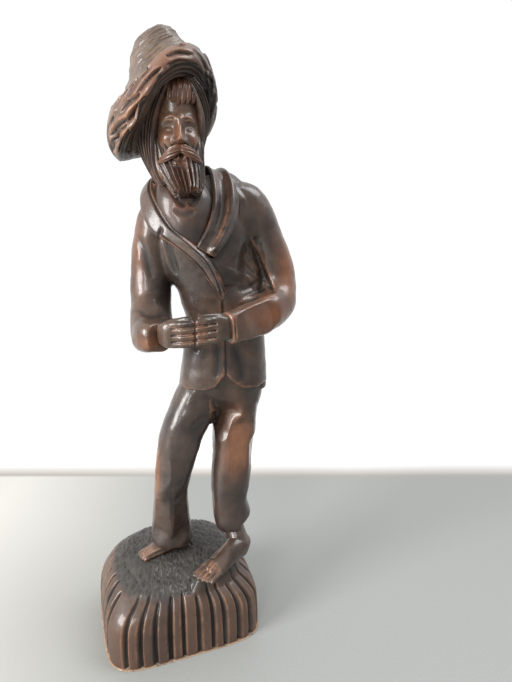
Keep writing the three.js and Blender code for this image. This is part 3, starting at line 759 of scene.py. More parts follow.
def leftFootPiece(p):
    c = footSkin("leftFoot", p)
    along, across, above = np.array(p["ahead"]) * (1, 1, 0), np.array(p["across"]), (0, 0, 1)
    root = np.array(p["toesAt"]) + (0, 0, 1.8)
    for offset in p["clefts"]:
        at = root + across * offset
        c.gouge([at - along * 3.5, at + along * 3, at + along * 8], 1.25, 1.1, above, taper=0.3, wear=0.7)
    # the nails' back edges
    for (offset, _, _), place in zip(p["toes"], p["nails"]):
        at = root + across * offset + along * place
        c.gouge([at - across * 1.1, at + across * 1.1], 0.7, 0.45, above, taper=0.1)
    c.gouge([(33, -15, 62), (30, -18, 58), (24, -22.5, 54)], 2.5, 0.8, (-0.6, -0.3, 0.7), wear=0.8)
    c.swell((43.5, -19.5, 60), 3.0, 0.7)
    c.renew()
    c.unevenness(6.0, 0.22, 31)
    return dress(c.finish(reach=10, edge=0.16), "warm", "worn_stain", "left_foot")


def rightFootPiece(p):
    c = footSkin("rightFoot", p)
    along, across, above = np.array(p["ahead"]) * (1, 1, 0), np.array(p["across"]), (0, 0, 1)
    root = np.array(p["toesAt"]) + (0, 0, 1.8)
    for offset in p["clefts"]:
        at = root + across * offset
        c.gouge([at - along * 3, at + along * 2, at + along * 5], 1.1, 0.8, above, wear=0.6)
    c.gouge([(-4, -8.6, 57), (-12, -9.8, 55), (-20, -11, 53)], 1.8, 0.7, (0, -1, 0.4), wear=0.6)
    c.unevenness(6.0, 0.2, 32)
    return dress(c.finish(reach=10, edge=0.16), "warm", "worn_stain", "right_foot")


leftFootPiece(feet["left"])
rightFootPiece(feet["right"])
print("feet carved")

coat = dict(
    voxel=0.72,
    trunk=[(34, 1, 163.5, 27.6, 21, 2.6), (34, 1, 166.5, 28.3, 21.8, 2.6), (35.2, 1, 184, 27.2, 20.2, 2.4),
           (35.5, 2, 202, 25.8, 18.8, 2.4), (35.3, 2, 216, 25.4, 18.5, 2.5), (32.5, 3, 236, 28, 20, 2.4),
           (25.5, 4, 256, 32, 19.6, 2.5), (22.5, 5, 274, 32, 16.8, 2.4), (24.5, 6.2, 286, 27, 12.6, 2.3),
           (21.5, 8, 294.5, 16, 9, 2.2)],
    right=[(1.5, 6, 282, 8.5, 11.5), (-4.6, 6, 271, 12, 14), (-8, 6, 256, 12.5, 14),
           (-9.6, 5.5, 238, 12.5, 12.6), (-10.2, 1, 221, 12.5, 12.4), (-10.2, -9, 210.2, 12.6, 11.2, 2.6),
           (-9.8, -20, 205.0, 12.2, 10.2, 3.2), (-8.0, -28.0, 204.0, 10.8, 9.0, 3.4),
           (-5.2, -31.4, 204.4, 8.2, 8.0, 3.2)],
    left=[(42.5, 6, 288, 8.7, 11), (53, 6, 280, 11.8, 13.5), (60.4, 6, 263.5, 12.5, 14.2),
          (66.6, 5, 247, 12.9, 13.4), (69.4, 3, 232, 13, 12.6),
          (67.8, -5.5, 219.5, 12.2, 12.2, 2.2, 1, -0.6, 0), (57, -20, 214.6, 9.2, 11.6, 2.4, 0.5, -1, 0),
          (45, -29.4, 211.2, 7.6, 10.4, 2.7, 0.5, -1, 0), (38, -33.0, 209.6, 7.0, 9.7, 2.8, 0.5, -1, 0),
          (33.2, -35.0, 208.8, 6.5, 9.3, 2.8, 0.5, -1, 0)],
    shoulder=[(39, 4, 289, 7, 9), (44.5, 3, 281, 9, 11.5), (48.5, 3, 271, 9.5, 13), (51.5, 4, 261, 9.5, 13)],
    # the crisp edge round the hollow between the left arm and the chest
    armEdge=[(38.5, 0, 219), (48, 0, 223.6), (57, 0, 225.6), (64, 0, 226.4), (65.2, 0, 229), (62.5, 0, 238),
             (58, 0, 249), (52, 0, 259), (45, 0, 265)],
    # both ends and the depth of each fold behind
    backFolds=[((10, 0, 222), (30, 0, 216), 1.2), ((58, 0, 224), (40, 0, 216), 1.2),
               ((12, 0, 212), (31, 0, 209), 0.9), ((59, 0, 212), (39, 0, 208), 0.9),
               ((52, 0, 262), (42, 0, 244), 1.1), ((-2, 0, 262), (8, 0, 244), 1.1),
               ((-19, 0, 226), (-3, 0, 221), 1.1), ((79, 0, 236), (62, 0, 226), 1.1),
               ((-20, 0, 219), (-4, 0, 214), 0.9)],
    # the hem's height over its lowest line, by the distance from the front edge
    hem=([-26, -14, -6, -1.5, 0.5, 4, 12, 20, 26], [0.6, 0.2, 2.5, 9, 10.5, 6.5, 1.2, 1.0, 2.8]),
)


def coatPiece(p):
    # a trunk, two sleeves and the left shoulder, each a loft of superellipses, fused and then cut
    parts = [closedGrid("coat" + k, loft(p[k], around, along)) for k, around, along in
             (("trunk", 180, 180), ("right", 120, 150), ("left", 120, 170), ("shoulder", 90, 60))]
    obj = fused("jacket", parts, p["voxel"], 5)
    c = Carving(obj)
    front, back = (0, -1, 0), (0, 1, 0)
    # the hollow under the left arm and the folds that run into it
    c.swell((51.5, -15, 243), 10.0, -6.0, (0.8, 1.2, 1.7))
    c.swell((46, -17, 231), 7.0, -2.2, (1.4, 1.5, 0.8))
    c.renew()
    spot, drop = c.ledge(p["armEdge"], 3.6, 14.0, start=0.3)
    c.soften((47, -9, 272), 9, 24)
    hollow = np.zeros(len(c.points))
    hollow[spot] = drop
    c.renew()
    c.strokes((0.55, 0, -0.83), 10.0, 2.8, 0.6, 45, where=ramp(hollow, 0.1, 0.5) * 0.8)
    c.renew()
    for a, b, width, depth in (((42, 0, 229), (57, 0, 234), 2.6, 1.0),
                               ((46, 0, 247), (54, 0, 238), 2.2, 0.9)):
        c.gouge([a, (np.array(a) + b) / 2 + (1.2, 0, -1.4), b], width, depth, front, lens=True)
    # creases in front of the right armpit and inside the right elbow
    c.gouge([(-18, 0, 262), (-13, 0, 250), (-9, 0, 236)], 4.0, 1.0, front, lens=True)
    c.gouge([(38, 0, 196), (43, 0, 184), (44, 0, 172)], 5.0, 0.9, front, lens=True)
    c.gouge([(28, 0, 198), (29, 0, 186), (27, 0, 175)], 4.0, 0.7, front, lens=True)
    c.gouge([(-0.5, 0, 262), (2.0, 0, 250), (4.8, 0, 238)], 3.6, 1.6, front, lens=True)
    c.gouge([(-19, 0, 219.5), (-10, 0, 216.4), (-1, 0, 218)], 3.4, 0.9, front, lens=True)
    c.shave((50, -32.0, 211.5), (0.52, -0.85, 0.06), 20, edge=0.35)
    c.renew()
    # the front edges: the right side lies over the left and both round away at the hem
    x, y, z = c.points.T
    facing = c.normals[:, 1] < -0.15
    trunk = (z > 172) & (z < 232) & (y > -28) & (y < -8) & (x > 6) & (x < 60)
    gap = x - np.interp(z, [200, 218, 232], [33, 32, 31])
    step = facing * trunk
    c.points[:, 1] += step * 1.3 * np.exp(-np.maximum(gap, 0) / 5.0) * ramp(gap, -0.35, 0.35)
    c.darken(step * bell(gap, 0.3, 0.5**0.5) * 0.9)
    c.rub(step * bell(gap, -1.0, 0.5**0.5) * 0.35)
    rise = np.interp(gap, *p["hem"])
    low = ramp(166.3 + rise - z, -0.35, 0.35) * (y < -3)
    c.points[:, 1] += low * np.minimum(5.6, np.maximum(-3 - y, 0) * 0.4)
    c.darken(low * 0.5)
    hemLip = bell(z - rise, 167.4, 0.8) * facing * (z < 182)
    c.rub(hemLip * 0.6 * ramp(valueNoise(c.points, 9.0, 46), -0.1, 0.35))
    c.renew()
    # cuffs: a turned edge set off by a ring
    c.gouge([(36.4, 0, 200.6), (36.9, 0, 209), (36.6, 0, 217.4)], 1.0, 0.7, front, taper=0.1, wear=0.8)
    c.gouge([(-7.6, 0, 198), (-6.4, 0, 205), (-7.2, 0, 212)], 1.0, 0.7, front, taper=0.1, wear=0.6)
    # the back: a centre seam with a short vent, shoulder blades and folds over the waist
    c.gouge([(22, 0, 288), (26, 0, 262), (34, 0, 222), (34.5, 0, 182)], 1.5, 0.8, back, taper=0.08, wear=0.5)
    c.gouge([(34.5, 0, 184), (34.3, 0, 172), (34, 0, 163)], 2.4, 1.8, back, taper=0.12, wear=0.5)
    for a, b, depth in p["backFolds"]:
        c.gouge([a, (np.array(a) + b) / 2 + (0, 0, -1.6), b], 2.8, depth, back, lens=True)
    c.swell((8, 22, 268), 9, 1.0)
    c.swell((40, 22, 268), 9, 1.0)
    c.renew()
    c.unevenness(11.0, 0.6, 41)
    c.unevenness(4.5, 0.2, 42)
    x, y, z = c.points.T
    # the brown of handling: the left forearm and outer sleeve, the right forearm and outer sleeve
    warm = np.maximum.reduce([bell(x, 62, 16) * bell(z, 214, 9) * (y < 2) * 0.9,
                              bell(x, 76, 6) * bell(z, 245, 34) * 0.8,
                              bell(x, -12, 7) * bell(z, 201, 5) * (y < -5) * 0.8,
                              bell(x, -17, 4) * bell(z, 250, 22) * 0.6])
    # painted shade on the chest where the right arm shades it, inside the right arm and beside the left lapel
    chestShade = 0.5 * bell(x, 8, 10) * bell(z, 237, 16) + 0.4 * bell(x, -3, 6) * bell(z, 226, 15)
    chestShade = (chestShade + 0.45 * bell(x, 40, 8) * bell(z, 240, 10)) * (y < -3)
    # the hollow under the left arm gets less darkening than its depth would give it, and less painted shade
    c.recess *= 1 - 0.6 * bell(x, 54, 9) * bell(z, 243, 15)
    chestShade = chestShade - 0.45 * bell(x, 54, 8) * bell(z, 243, 15) * (y < 0)
    c.finish(reach=12, edge=0.22, smooth=1, paintedShade=chestShade)
    setAttribute(obj, "warmth", warm)
    return dress(obj, "jacket", "dark_stain", "jacket_body", "right_sleeve", "left_sleeve")


coatPiece(coat)
print("jacket carved")

hands = dict(
    voxel=0.36, radius=1.95,
    # a finger's swelling from behind the knuckle to its tip: place along it, share of the radius, push back
    fingerRows=((-0.18, 0.8, 1.0), (0.12, 1.0, -0.1), (0.38, 0.95, -0.7), (0.5, 1.0, -0.9),
                (0.75, 0.93, -0.6), (0.93, 0.85, -0.1),
                (1.0, 0.5, 0.3)),
    thumbRadii=(2.0, 2.2, 2.0, 1.9, 1.1),
    right=dict(wrist=(-5, -31.5, 205.6), knuckles=(0.4, -36.0, 206.4), tips=(13.6, -40.8, 208),
               knuckleHeights=(200.6, 204.4, 208.2, 211.9), tipHeights=(201.6, 205.4, 209.4, 213.2),
               thumb=((-3, -33, 211.6), (1, -34.5, 213.2), (6, -37, 214.4), (10, -39, 215.3),
                      (12.6, -40, 215.6))),
    left=dict(wrist=(36, -34.0, 209.4), knuckles=(26.4, -38.0, 209.4), tips=(14.4, -41, 208.2),
              knuckleHeights=(203.0, 207.0, 211.0, 214.6), tipHeights=(201.8, 205.7, 209.8, 213.6),
              thumb=((32, -34.5, 215.0), (28, -36.4, 216.2), (23, -38.4, 216.6), (18.6, -39.6, 216.4),
                     (15.6, -40.4, 216.0))),
)


def handPiece(side):
    # a flat palm, four rolled fingers from the knuckles to the tips, and a thumb along the top
    p, name, radius = hands[side], side + "Hand", hands["radius"]
    w, k, t = (np.array(p[v], float) for v in ("wrist", "knuckles", "tips"))
    zs, zt = p["knuckleHeights"], p["tipHeights"]
    across = tuple(np.cross(t - w, (0, 0, 1.0)))
    palm = [(*w, 3.4, 6.2, 2.6), (*(w + k) / 2, 3.8, 7.2, 2.8), (*k, 3.4, 7.6, 2.8),
            (*(k * 0.4 + t * 0.6), 1.6, 6.4, 2.8)]
    parts = [closedGrid(name + "Palm", loft(palm, 64, 40, across))]
    for i in range(4):
        a, b = np.array([k[0], k[1] - 0.6, zs[i]]), np.array([t[0], t[1], zt[i]])
        rows = [(*(a + (b - a) * f + (0, dy, 0)), radius * g * 1.15, radius * g, 2.3)
                for f, g, dy in hands["fingerRows"]]
        parts.append(closedGrid(f"{name}Finger{i}", loft(rows, 40, 40, across)))
    thumb = [(*q, r, r * 0.9, 2.2) for q, r in zip(p["thumb"], hands["thumbRadii"])]
    parts.append(closedGrid(name + "Thumb", loft(thumb, 40, 36, across)))
    obj = fused(name, parts, hands["voxel"], 3)
    c = Carving(obj)
    face = (0, -1, 0)
    for i in range(3):
        a = [k[0], 0, (zs[i] + zs[i + 1]) / 2]
        b = [t[0], 0, (zt[i] + zt[i + 1]) / 2]
        c.gouge([a, [(a[0] + b[0]) / 2, 0, (a[2] + b[2]) / 2], b], 1.0, 1.0, face, taper=0.1, wear=0.5)
    for i in range(4):
        for f in (0.42, 0.74):
            x, z = k[0] + (t[0] - k[0]) * f, zs[i] + (zt[i] - zs[i]) * f
            c.gouge([(x, 0, z - 1.2), (x, 0, z + 1.2)], 0.5, 0.12, face, taper=0.2)
    c.unevenness(3.5, 0.12, 51)
    c.finish(reach=8, edge=0.14)
    return dress(obj, "warm", "worn_stain", side + "_hand")


handPiece("right")
handPiece("left")
print("hands carved")

chest = dict(
    voxel=0.6,
    front=[(21, -13, 251, 4, 5), (17, -12.5, 258, 9, 7, 2.2), (13.5, -11, 267, 13, 9, 2.3),
           (12, -6.5, 279, 17, 11, 2.3), (10.5, 0, 290, 15.5, 11), (9.5, 1, 296, 13.5, 12)],
    neck=[(10, 4, 276, 15, 13), (9.4, 2.6, 287, 13.6, 13), (9, 1, 296, 12.8, 12.8), (8.6, 0, 305, 12.5, 13)],
)


def chestPiece(p):
    # the shirt front and the neck: two lofts fused into one skin
    parts = [closedGrid("chest" + k, loft(p[k], 120, 90)) for k in ("front", "neck")]
    obj = fused("chest", parts, p["voxel"], 6)
    c = Carving(obj)
    front = (0, -1, 0)
    c.gouge([(3, 0, 290), (8, 0, 281), (12, 0, 278)], 3.0, 1.1, front, lens=True)
    c.gouge([(21, 0, 291), (17, 0, 282), (14, 0, 278)], 3.0, 1.1, front, lens=True)
    c.swell((12.5, -17, 280.5), 2.6, -1.0)
    c.gouge([(4, 0, 276), (11, 0, 273.5), (17, 0, 275)], 2.6, 0.6, front, lens=True)
    c.renew()
    c.unevenness(7.0, 0.3, 61)
    c.finish(reach=10, edge=0.2)
    x, _, z = c.points.T
    setAttribute(obj, "warmth", 0.45 * bell(x, 8, 8) * bell(z, 278, 9))
    return dress(obj, "chest", "dark_stain", "shirt_front", "neck")


chestPiece(chest)

collars = dict(
    right=dict(
        inner=[(9, 22, 301), (0, 18.5, 300.5), (-5.5, 9, 296.5), (-6.5, -2, 288.5), (-2.5, -11, 278),
               (3, -16.5, 268), (10, -20.5, 260.5), (17, -23, 254), (23, -24.3, 248), (27, -25, 241),
               (30, -25.2, 233.5), (31.8, -24.8, 225)],
        outer=[(9, 25.5, 291), (-5, 21.5, 290), (-12.6, 12, 288), (-14.6, 0, 279), (-11.5, -8.5, 269),
               (-7.5, -12.5, 262.5), (-2.5, -15, 259), (3, -17.3, 256), (10, -19.4, 250.8),
               (16, -21, 245.5), (21, -22.2, 239.5), (25, -22.8, 233.5), (28.5, -23.2, 229),
               (31, -23.6, 224)],
        notch=0.435, thick=4.0),
    left=dict(
        inner=[(9, 22, 301), (19, 18.5, 302.5), (25.5, 8, 304), (28, -4, 295.5), (28, -12.5, 280),
               (24, -18.5, 267), (17.2, -22.6, 255)],
        outer=[(9, 25.5, 291), (24, 22, 292.5), (35.6, 11.5, 299), (41.2, 1.5, 295.6), (43.8, -6.8, 286.2),
               (42.6, -13.6, 273.6), (39.4, -17, 265.5), (34.4, -19.8, 257.5), (27.5, -22.2, 249)],
        thick=7.5),
)


def band(name, inner, outer, thick, height, rows=420, across=56):
    # a strip ruled between two edge curves; its crown stands over the rule by height(u, v), and its under
    # side lies a thickness below
    a, b = curveThrough(inner, rows)[:, None], curveThrough(outer, rows)[:, None]
    u = (1 - np.cos(np.linspace(0, np.pi, across))) / 2
    u = u[None, :, None]
    v = np.linspace(0, 1, rows)[:, None]
    rule = a + (b - a) * u
    out = unit(np.cross(np.gradient(rule, axis=0), b - a + 0 * rule))
    away = rule - np.array([16, 6, 0])
    away[..., 2] = 12
    out = out * np.sign((out * away).sum(-1, keepdims=True).mean())
    crown = rule + out * height(u[..., 0], v)[..., None]
    under = rule - out * thick
    grid = np.concatenate([crown, under[:, ::-1]], 1)
    obj = closedGrid(name, grid)
    # u and v of every point, and -1 on the under side
    uv = np.stack(np.broadcast_arrays(u[..., 0], v), -1)
    uv = np.concatenate([uv, np.full((rows, across, 2), -1.0)], 1).reshape(-1, 2)
    return obj, *np.vstack([uv, [[-1, 0], [-1, 1]]]).T


def rightCollar(u, v):
    # flat, with rounded edges, a rolled inner lip, and a double line along the outer edge below the notch
    notch = collars["right"]["notch"]
    below = ramp(v, notch - 0.01, notch + 0.03)
    body = 1.5 * (1 - np.abs(2 * u - 1) ** 7) + 0.5 * np.sin(np.pi * u)
    double = 0.45 * bell(u, 0.88, 0.05) - 0.9 * bell(u, 0.80, 0.05) - 0.35 * bell(u, 0.93, 0.03)
    lines = below * double - 0.95 * bell(u, 0.17, 0.055)
    fold = -1.1 * bell(v, notch, 0.012) * ramp(u, 0.35, 0.7)
    return (body + lines * ramp(v, 0.12, 0.25) + fold) * (0.15 + 0.85 * ramp(v, 1.0, 0.93))


def leftCollar(u, v):
    # a fat outer roll, a long hollow behind it and a thin inner lip
    roll = 2.9 * bell(u, 0.74, 0.17) + 0.5 * (1 - np.abs(2 * u - 1) ** 6)
    hollow = 1.9 * bell(v, 0.66, 0.2) * bell(u, 0.38, 0.14)
    lip = 0.7 * bell(u, 0.08, 0.07) * ramp(v, 0.2, 0.4)
    return (roll - hollow + lip) * (0.3 + 0.7 * ramp(v, 1.0, 0.95))


def collarPiece(side, shape):
    p = collars[side]
    obj, u, v = band(side + "Lapel", p["inner"], p["outer"], p["thick"], shape)
    c = Carving(obj)
    crown = u >= 0
    c.unevenness(7.0, 0.22, 71)
    if side == "right":
        below = v > p["notch"]
        c.rub(crown * np.maximum(bell(u, 0.88, 0.06) * below, 0.5 * bell(u, 0.10, 0.04)))
        c.darken(crown * (bell(u, 0.17, 0.04) + bell(u, 0.80, 0.035) * below) * 0.9)
    else:
        # a rubbed ridge along the roll: worn bare, and also a painted highlight
        c.rub(crown * bell(u, 0.57, 0.05) * bell(v, 0.78, 0.24) * 1.1)
        c.darken(crown * bell(u, 0.36, 0.1) * bell(v, 0.62, 0.2) * 0.35)
    c.finish(reach=8, edge=0.18)
    return dress(obj, "jacket", "dark_stain", side + "_lapel")


collarPiece("left", leftCollar)
collarPiece("right", rightCollar)
print("collar carved")

head = dict(
    middle=9.0, around=300, rings=250,
    rows=[(10, -9, 287.5, 5.5, 6), (9.6, -8.4, 291, 9, 11.5), (9.3, -7.6, 299, 12, 15.4, 2.2),
          (9, -7, 309, 13.4, 16.8, 2.3), (8.6, -6.4, 319, 13.9, 17.2, 2.3), (8.4, -6, 329, 14, 17.4, 2.2),
          (8, -5.2, 339, 13, 16.6, 2.1), (8, -5, 347, 9.5, 12.5, 2), (8, -5, 350, 5, 7, 2)],
    # push forwards, distance from the middle line, width, height, half height: sockets, eyes, nostrils,
    # cheeks, the hollows below them, lips, the line between them and chin
    bumps=[(-2.9, 5.9, 3.3, 319.7, 2.5), (1.9, 6.0, 2.2, 319.2, 1.55), (2.4, 2.9, 1.15, 311.9, 1.35),
           (1.3, 8.4, 3.0, 314.2, 3.2), (-1.0, 8.6, 3.0, 306.5, 3.6), (0.9, 0, 4.2, 303.6, 1.2),
           (1.2, 0, 3.6, 300.6, 1.3), (-1.1, 0, 5.0, 302.2, 0.5), (1.4, 0, 5.0, 291, 4)],
)


def headPiece(p):
    # a tapering egg of superellipses; the features are soft bumps and hollows in a carver's proportions: eyes
    # half way down the head, the nose a third of the way on to the chin, the mouth another third
    obj = closedGrid("head", loft(p["rows"], p["around"], p["rings"]))
    c = Carving(obj)
    middle = p["middle"]
    x, _, z = c.points.T
    e = np.abs(x - middle)
    push = sum(amount * bell(e, at, width) * bell(z, height, size) for amount, at, width, height,
               size in p["bumps"])
    # the brows bend down at their ends
    push += 1.5 * bell(e, 5.2, 4.6) * bell(z + 0.03 * (e - 6) ** 2, 324.4, 1.9)
    bridge = np.interp(z, [309.6, 310.6, 312.5, 314, 320, 325, 327], [0, 3.2, 6.4, 6.0, 3.0, 1.4, 0])
    push += bridge * np.exp(-((e / np.interp(z, [310, 312.5, 316, 325], [2.7, 2.5, 1.9, 1.7])) ** 2.6))
    # the folds from the nostrils to the corners of the mouth
    push -= 0.9 * bell(e - (311 - z) * 0.35, 3.1, 0.9) * ramp(z, 303, 306) * ramp(z, 313, 311)
    c.points[:, 1] -= push * np.clip(-c.normals[:, 1] * 1.6, 0, 1)
    c.renew()
    face = (0, -1, 0)
    for s in (-1, 1):
        # lids: an upper and a lower line about each eye, a line in the brow, a small pupil and a nostril
        upper, lower, brow, nostril = ([(middle + s * out, 0, z) for out, z in line] for line in (
            ((3.3, 318.9), (4.6, 320.5), (6.6, 320.9), (9.0, 319.4)),
            ((3.3, 318.7), (4.8, 317.8), (6.8, 317.7), (9.0, 319.1)),
            ((2.4, 323.4), (5.2, 324.1), (9.4, 322.3)),
            ((1.7, 311.0), (2.7, 310.6))))
        c.gouge(upper, 0.62, 0.5, face, taper=0.15)
        c.gouge(lower, 0.55, 0.4, face, taper=0.15)
        c.gouge(brow, 1.1, 0.5, face, lens=True, wear=0.4)
        c.swell((middle + s * 6.0, -24.5, 319.3), 0.75, -0.4)
        c.gouge(nostril, 0.8, 0.7, face, taper=0.1)
    c.renew()
    c.unevenness(4.5, 0.14, 81)
    x, _, z = c.points.T
    e = np.abs(x - middle)
    c.finish(reach=9, edge=0.14)
    setAttribute(obj, "warmth", 0.9 * bell(e, 0, 2.2) * bell(z, 315, 6) + 0.7 * bell(e, 8, 3) * bell(z, 313,
                                                                                                     4))
    return dress(obj, "skin", "worn_stain", "head")


headPiece(head)

beard = dict(around=400, rings=200, locks=24, middle=9.2,
             rows=[(13.6, -20.6, 285.2, 6.8, 4.2, 2.8), (13.4, -20, 286.8, 9.0, 6.2, 2.8),
                   (12.3, -17.4, 291.5, 11.2, 9.2, 2.6), (10.8, -14, 298, 13.0, 12.4, 2.4),
                    (9.4, -11.6, 305.5, 14.2, 13.6, 2.4), (8.8, -10, 312, 14.6, 12.6, 2.4),
                   (8.4, -8.6, 318, 14.7, 10.8, 2.4)])


def locksOf(turn, count, v, wander, seed, sharp=0.7):
    # V grooves between rounded locks round an axis, each lock its own width and drifting along its length
    r = np.random.default_rng(seed)
    edges = np.sort((np.arange(count) + r.uniform(-0.25, 0.25, count)) / count)
    at = (turn / (2 * np.pi) + wander * np.sin(v * 5.0 + turn * 2.0)) % 1
    gaps = np.abs((at[..., None] - edges + 0.5) % 1 - 0.5)
    gap = gaps.min(-1) * count
    return np.clip(1 - gap / 0.42, 0, 1) ** sharp, gaps.argmin(-1)


def lockGrid(p):
    # a loft's points with the turn of each column and the share of each row
    turn = np.linspace(0, 2 * np.pi, p["around"], endpoint=False)[None]
    return loft(p["rows"], p["around"], p["rings"]), turn, np.linspace(0, 1, p["rings"])[:, None]


def beardPiece(p):
    # a loft pulled in towards its middle line, along V grooves between the locks
    grid, turn, v = lockGrid(p)
    cut, which = locksOf(turn, p["locks"], v, 0.006, 14)
    fine, _ = locksOf(turn, p["locks"] * 3, v, 0.004, 15)
    spoke = grid - grid.mean(1, keepdims=True)
    length = np.linalg.norm(spoke, axis=-1, keepdims=True)
    # the locks die out round the mouth
    calm = 1 - np.exp(-(((grid[..., 0] - p["middle"]) / 5.2) ** 4) - ((grid[..., 2] - 301.2) / 3.0) ** 4)
    cut, fine = cut * calm, fine * calm
    depth = (cut * 2.0 + fine * 0.35) * np.clip(length[..., 0] / 7, 0.2, 1) + 0.22 * np.sin(which * 2.4)
    grid = grid - spoke / np.maximum(length, 1e-3) * depth[..., None]
    # the upper edge is low under the nose and climbs to the temples; the lower ends of the locks are stepped
    grid[..., 2] -= ramp(v, 0.45, 1) * 11.5 * ramp(-np.sin(turn), 0.62, 0.95)
    grid[..., 2] += (1 - v) ** 3 * np.sin(which * 1.7) * 2.0
    obj = closedGrid("beard", grid)
    c = Carving(obj)
    c.recess = np.concatenate([cut.ravel() * 0.8, [0, 0]])
    # the mouth: a lip between the moustache and the beard
    face, m = (0, -1, 0), p["middle"]
    c.gouge([(m - 5.0, 0, 301.4), (m, 0, 303.3), (m + 5.0, 0, 301.6)], 1.6, 2.2, face, lens=True)
    c.renew()
    c.swell((m, -25.0, 300.9), 1.7, 1.2, (1.9, 2.5, 0.75))
    c.gouge([(m - 4.2, 0, 299.6), (m, 0, 298.4), (m + 4.2, 0, 299.6)], 1.1, 1.2, face, lens=True)
    c.finish(reach=6, edge=0.3)
    setAttribute(obj, "warmth", 0.5 * bell(c.points[:, 0], 9, 8) * (c.points[:, 1] < -12))
    return dress(obj, "hair", "worn_stain", "beard")


beardPiece(beard)

moustache = dict(strands=9, groove=0.42, twist=1.4, warmth=0.55,
                 right=[(10.2, -25.2, 308.4, 2.0, 1.6), (7.4, -26.0, 307.8, 2.7, 2.0),
                        (3.6, -25.2, 305.6, 3.0, 2.0), (0.0, -22.6, 303.0, 2.3, 1.6),
                        (-3.4, -18.8, 301.0, 0.7, 0.8)],
                 left=[(8.2, -25.2, 308.4, 2.0, 1.6), (11.0, -26.0, 307.8, 2.7, 2.0),
                       (14.8, -25.2, 305.8, 3.0, 2.0), (18.4, -22.6, 303.4, 2.3, 1.6),
                       (21.6, -18.8, 301.6, 0.7, 0.8)])


def strandedLoft(name, rows, around, along, strands, depth, side, twist=0.0):
    # a loft whose outline is cut by V grooves that run with its length
    def relief(turn, v):
        return 1 - depth * (1 - np.abs(np.sin((turn + twist * v) * strands / 2)) ** 0.7)

    return closedGrid(name, loft(rows, around, along, side, relief))


def moustachePiece(p):
    # two stranded wings, thick under the nose and thin at their ends
    parts = [strandedLoft("moustache" + k, p[k], 120, 100, p["strands"], p["groove"], (0, 0, 1), twist)
             for k, twist in (("right", p["twist"]), ("left", -p["twist"]))]
    obj = Carving(fused("moustache", parts, 0.26, 1)).finish(reach=6, edge=0.16)
    setAttribute(obj, "warmth", np.full(len(obj.data.vertices), p["warmth"]))
    return dress(obj, "hair", "worn_stain", "moustache")


moustachePiece(moustache)

fringe = dict(count=6, first=3.2, step=2.75, warmth=0.4)


def fringePiece(p):
    # short locks side by side, bowed round the forehead
    parts = []
    for k in range(p["count"]):
        x = p["first"] + p["step"] * k
        bow = -0.045 * (x - 10) ** 2
        drop = 0.05 * (x - 10) ** 2 + 0.8 * math.sin(k * 2.3)
        rows = [(x + 1.0, -19.0 - bow, 345.5, 1.4, 1.6, 3), (x + 0.7, -22.6 - bow, 341, 1.5, 1.9, 3),
                (x + 0.3, -23.6 - bow, 336, 1.5, 1.9, 3), (x - 0.2, -23.4 - bow, 333 + drop * 0.5, 1.25, 1.5,
                                                           3),
                (x - 1.2, -22.6 - bow, 330.6 + drop, 0.35, 0.6, 2)]
        parts.append(strandedLoft(f"lock{k}", rows, 64, 60, 5, 0.28, (1, 0, 0)))
    obj = Carving(fused("fringe", parts, 0.3, 1)).finish(reach=6, edge=0.18)
    setAttribute(obj, "warmth", np.full(len(obj.data.vertices), p["warmth"]))
    return dress(obj, "hair", "worn_stain", "fringe")


fringePiece(fringe)
print("face, beard and fringe carved")

hair = dict(around=520, rings=180, locks=46,
            rows=[(9.6, 4, 289.5, 11.5, 10.5), (9.2, 3.2, 293, 13.6, 13.4, 2.2),
                  (8.6, 1.6, 301, 15.2, 16.6, 2.3), (8.2, 0, 312, 16.0, 18.6, 2.3),
                   (8, -0.6, 324, 16.4, 19.4, 2.3), (7.6, -1, 336, 16.2, 19.2, 2.2),
                  (7.5, -1, 345, 14.6, 17.6, 2.1)])


def hairPiece(p):
    # a loft whose rings are pulled in level, along V grooves between the locks
    grid, turn, v = lockGrid(p)
    cut, which = locksOf(turn, p["locks"], v, 0.01, 17)
    fine, _ = locksOf(turn, p["locks"] * 3, v, 0.006, 18)
    spoke = unit((grid - grid.mean(1, keepdims=True)) * (1, 1, 0))
    grid = grid - spoke * (cut * 1.25 + fine * 0.28 + 0.3 * np.sin(which * 2.1))[..., None]
    grid[..., 2] += (1 - v) ** 2 * np.sin(which * 1.9) * 1.6
    obj = closedGrid("hair", grid)
    c = Carving(obj)
    c.recess = np.concatenate([cut.ravel() * 0.8, [0, 0]])
    c.finish(reach=6, edge=0.3)
    return dress(obj, "hair", "dark_stain", "hair")


hairPiece(hair)

curtains = dict(
    right=dict(inner=[(7, -21, 346), (2, -23.4, 338), (-2.6, -21.6, 327), (-4.6, -18.8, 315),
                      (-4.4, -17.4, 304), (-2.6, -16.6, 296), (0.2, -14.6, 290)],
               outer=[(2, -19, 349), (-6, -20, 341), (-11.5, -16, 329), (-14, -11.5, 318), (-12.8, -9, 309),
                      (-9, -7, 301), (-3.6, -6.4, 291.5)],
               strands=6),
    left=dict(inner=[(12, -21, 346), (17, -23, 338), (20.8, -20.6, 328), (21.4, -17.6, 319), (20.2, -14, 311),
                     (18.4, -11, 304), (17, -9, 298)],
              outer=[(16, -19, 348), (22, -20, 340), (25.2, -16.6, 331), (24.4, -12.0, 321), (22, -8.5, 312),
                     (19.4, -6, 304), (17.4, -4, 298)],
              strands=4))

